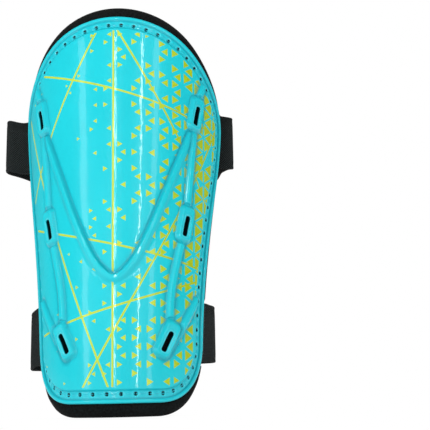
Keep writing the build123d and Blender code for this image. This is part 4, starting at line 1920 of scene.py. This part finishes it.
# ---------------------------------------------------------------- studio
@dataclass(frozen=True)
class Panel:
    """Soft light panel.

    Attributes:
        name: Name of the light.
        place: Where it stands, in millimetres.
        target: What it faces, in millimetres.
        size: Width and height in millimetres.
        power: Power in watts.
        mirrored: Whether glossy surfaces show its reflection.
    """

    name: str
    place: Triple
    target: Triple
    size: Pair
    power: float
    mirrored: bool = True

    def build(self) -> None:
        """Add the light to the scene."""
        light = bpy.data.lights.new(self.name, "AREA")
        light.shape = "RECTANGLE"
        light.size, light.size_y = self.size[0] * MM, self.size[1] * MM
        light.energy = self.power
        obj = bpy.data.objects.new(self.name, light)
        obj.visible_glossy = self.mirrored
        obj.location = Vector(self.place) * MM
        ahead = Vector(self.target) - Vector(self.place)
        obj.rotation_euler = ahead.to_track_quat("-Z", "Y").to_euler()
        bpy.context.scene.collection.objects.link(obj)


@dataclass(frozen=True)
class Studio:
    """Pale floor, a white surround for rays that look at it, soft lights and the camera.

    Attributes:
        floor_z: Height of the floor.
        floor_reach: Half of the floor's width.
        floor_tones: Linear grey of the floor's darker and lighter grain.
        fade: Distances in metres over which the floor turns plain white to the camera.
        world: Strength of the light that the surround gives.
        gloss_cut: How much less of it glossy rays get.
        lens: Focal length of the camera on a 36 mm sensor.
        stand: Where the camera stands.
        turns: Yaw, pitch and roll of the camera in degrees.
        panels: The lights.
    """

    floor_z: float = -112.0
    floor_reach: float = 6000.0
    floor_tones: Pair = (0.86, 0.9)
    fade: Pair = (0.055, 0.125)
    world: float = 0.45
    gloss_cut: float = 0.3
    lens: float = 71.78
    stand: Triple = (65.41, -452.13, -98.44)
    turns: Triple = (-1.551, 11.427, -1.211)
    panels: tuple[Panel, ...] = (
        Panel("key", (-420, -740, 20), (0, 30, 0), (500, 500), 3.8, mirrored=False),
        Panel("front_strip", (-88, -704, 150), (0, 0, 150), (14, 520), 0.55),
        Panel("right_strip", (270, -659, 150), (0, 0, 150), (16, 520), 0.6),
        Panel("soft_left", (-560, -560, 150), (0, 0, 100), (110, 520), 0.45),
        Panel("soft_right", (430, -540, 150), (0, 0, 100), (80, 520), 0.3),
        Panel("right_fill", (640, 200, 80), (0, 40, 0), (360, 460), 1.3, mirrored=False),
        Panel("left_fill", (-640, 300, 80), (0, 40, 0), (360, 460), 0.9, mirrored=False),
        Panel("rear_fill", (100, 800, 240), (0, 40, 0), (500, 500), 3.8, mirrored=False),
    )

    def lay_floor(self) -> None:
        """Lay the floor, which turns plain white to the camera away from the object."""
        material, tree, place = new_material("pale_floor")
        grain = add(tree, "ShaderNodeTexNoise", {"Vector": place, "Scale": 6.0})
        dark, light = ((tone, tone, tone, 1) for tone in self.floor_tones)
        colour = add(tree, "ShaderNodeMix", {0: grain, 6: dark, 7: light}, data_type="RGBA")
        diffuse = add(tree, "ShaderNodeBsdfDiffuse", {"Color": colour.outputs[2]})
        white = add(tree, "ShaderNodeEmission", {"Color": (1, 1, 1, 1), "Strength": 1.0})
        narrow = add(tree, "ShaderNodeVectorMath", {0: place, 1: (1.25, 1.0, 1.0)}, operation="MULTIPLY")
        away = add(tree, "ShaderNodeVectorMath", {0: narrow}, operation="LENGTH").outputs["Value"]
        faded = {"Value": away, 1: self.fade[0], 2: self.fade[1]}
        faded = add(tree, "ShaderNodeMapRange", faded, interpolation_type="SMOOTHSTEP")
        seen = add(tree, "ShaderNodeLightPath").outputs["Is Camera Ray"]
        share = add(tree, "ShaderNodeMath", {0: faded, 1: seen}, operation="MULTIPLY")
        mixed = add(tree, "ShaderNodeMixShader", {0: share, 1: diffuse, 2: white})
        add(tree, "ShaderNodeOutputMaterial", {"Surface": mixed})
        corners = np.array([(-1, -1, 0), (1, -1, 0), (1, 1, 0), (-1, 1, 0)]) * self.floor_reach
        floor = make_object("floor", corners + (0, 0, self.floor_z), [(0, 1, 2, 3)], material)

    def surround(self) -> None:
        """Light the scene from all round, with white where the camera looks past everything."""
        world = bpy.data.worlds.new("surround")
        world.use_nodes = True
        tree = world.node_tree
        tree.nodes.clear()
        rays = add(tree, "ShaderNodeLightPath").outputs
        looks = {0: rays["Is Camera Ray"], 1: rays["Is Transmission Ray"]}
        seen = add(tree, "ShaderNodeMath", looks, operation="MAXIMUM")
        gloss = {0: rays["Is Glossy Ray"], 1: -self.gloss_cut}
        gloss = add(tree, "ShaderNodeMath", gloss, operation="MULTIPLY")
        level = add(tree, "ShaderNodeMath", {0: gloss, 1: self.world}, operation="ADD")
        dim, white = (
            add(tree, "ShaderNodeBackground", {"Color": (1, 1, 1, 1), "Strength": strength})
            for strength in (level, 1.0)
        )
        mixed = add(tree, "ShaderNodeMixShader", {0: seen, 1: dim, 2: white})
        add(tree, "ShaderNodeOutputWorld", {0: mixed})
        bpy.context.scene.world = world

    def set_camera(self) -> None:
        """Stand the camera in front of the guard."""
        camera = bpy.data.cameras.new("camera")
        camera.lens, camera.sensor_width = self.lens, 36.0
        camera.clip_start = 0.01
        obj = bpy.data.objects.new("camera", camera)
        yaw, pitch, roll = (math.radians(angle) for angle in self.turns)
        level = math.cos(pitch)
        ahead = Vector((math.sin(yaw) * level, math.cos(yaw) * level, math.sin(pitch)))
        right = ahead.cross(Vector((0, 0, 1))).normalized()
        up = right.cross(ahead)
        cos, sin = math.cos(roll), math.sin(roll)
        right, up = cos * right + sin * up, -sin * right + cos * up
        turned = Matrix((right, up, -ahead)).transposed()
        obj.matrix_world = Matrix.Translation(Vector(self.stand) * MM) @ turned.to_4x4()
        bpy.context.scene.collection.objects.link(obj)
        bpy.context.scene.camera = obj

    def build(self) -> None:
        """Build the floor, the surround, the lights and the camera."""
        self.lay_floor()
        self.surround()
        for panel in self.panels:
            panel.build()
        self.set_camera()
        bpy.context.scene.view_settings.view_transform = "Standard"


UPPER_RIGHT = Route(((66.6, 44.2, 8.0), (56.5, 63.0, 14.0), (53.5, 79.5, 14.0)), (38.0, 12.0), 3.0)
UPPER_LEFT = Route(((83.5, 50.0, 12.0), (65.0, 72.5, 20.0)), (38.0, 16.0), 4.5)
LOWER_RIGHT = Route(((54.2, 52.5, 24.0),), (31.0, 24.0))
LOWER_LEFT = Route(((62.2, 48.8, 16.0),), (31.0, 9.0), -2.5)
LEVELS = (
    Level("upper", 45.0, {Side.RIGHT: UPPER_RIGHT, Side.LEFT: UPPER_LEFT}),
    Level("lower", -68.0, {Side.RIGHT: LOWER_RIGHT, Side.LEFT: LOWER_LEFT}),
)


def main() -> None:
    """Build the guard's sub-assemblies in order, report each piece, then build the studio round them."""
    shell_wall = MouldedShell.wall
    arch = Arch(front_y=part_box("foam_pad")[0].y / MM - shell_wall)
    pattern = FlatPattern(top=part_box("shell")[1].z / MM)
    shell = MouldedShell(arch, pattern)
    pieces = [shell.build(MouldedPolypropylene().build())]
    foam = KnitFacedFoam().build("knit_faced_foam")
    knit = KnitFacedFoam(light="#3a4044", dark="#191c1e", loop=0.7).build("stretch_knit")
    pieces += CushionedBack(arch, pattern, tuple(level.z for level in LEVELS)).build(foam, knit)
    webbing = WovenElastic().build()
    shell_thread = SewingThread("polyester_thread_cyan", "#30d3e2", "#0fb0c2").build()
    strap_thread = SewingThread("polyester_thread_black", "#434949", "#1d2020").build()
    hooks = FasteningTape("nylon_hook_tape", "#26292a", "#0f1011").build()
    loops = FasteningTape("nylon_loop_tape", "#303435", "#17191a").build()
    pieces += PerimeterSeam(arch, shell).build(shell_thread)
    for level in LEVELS:
        pieces += CalfStrap(arch, pattern, level).build(webbing, hooks, loops, strap_thread)
    for piece in pieces:
        LOG.info("%s: %d faces", piece.name, len(piece.data.polygons))
    Studio().build()


if __name__ == "__main__":
    main()
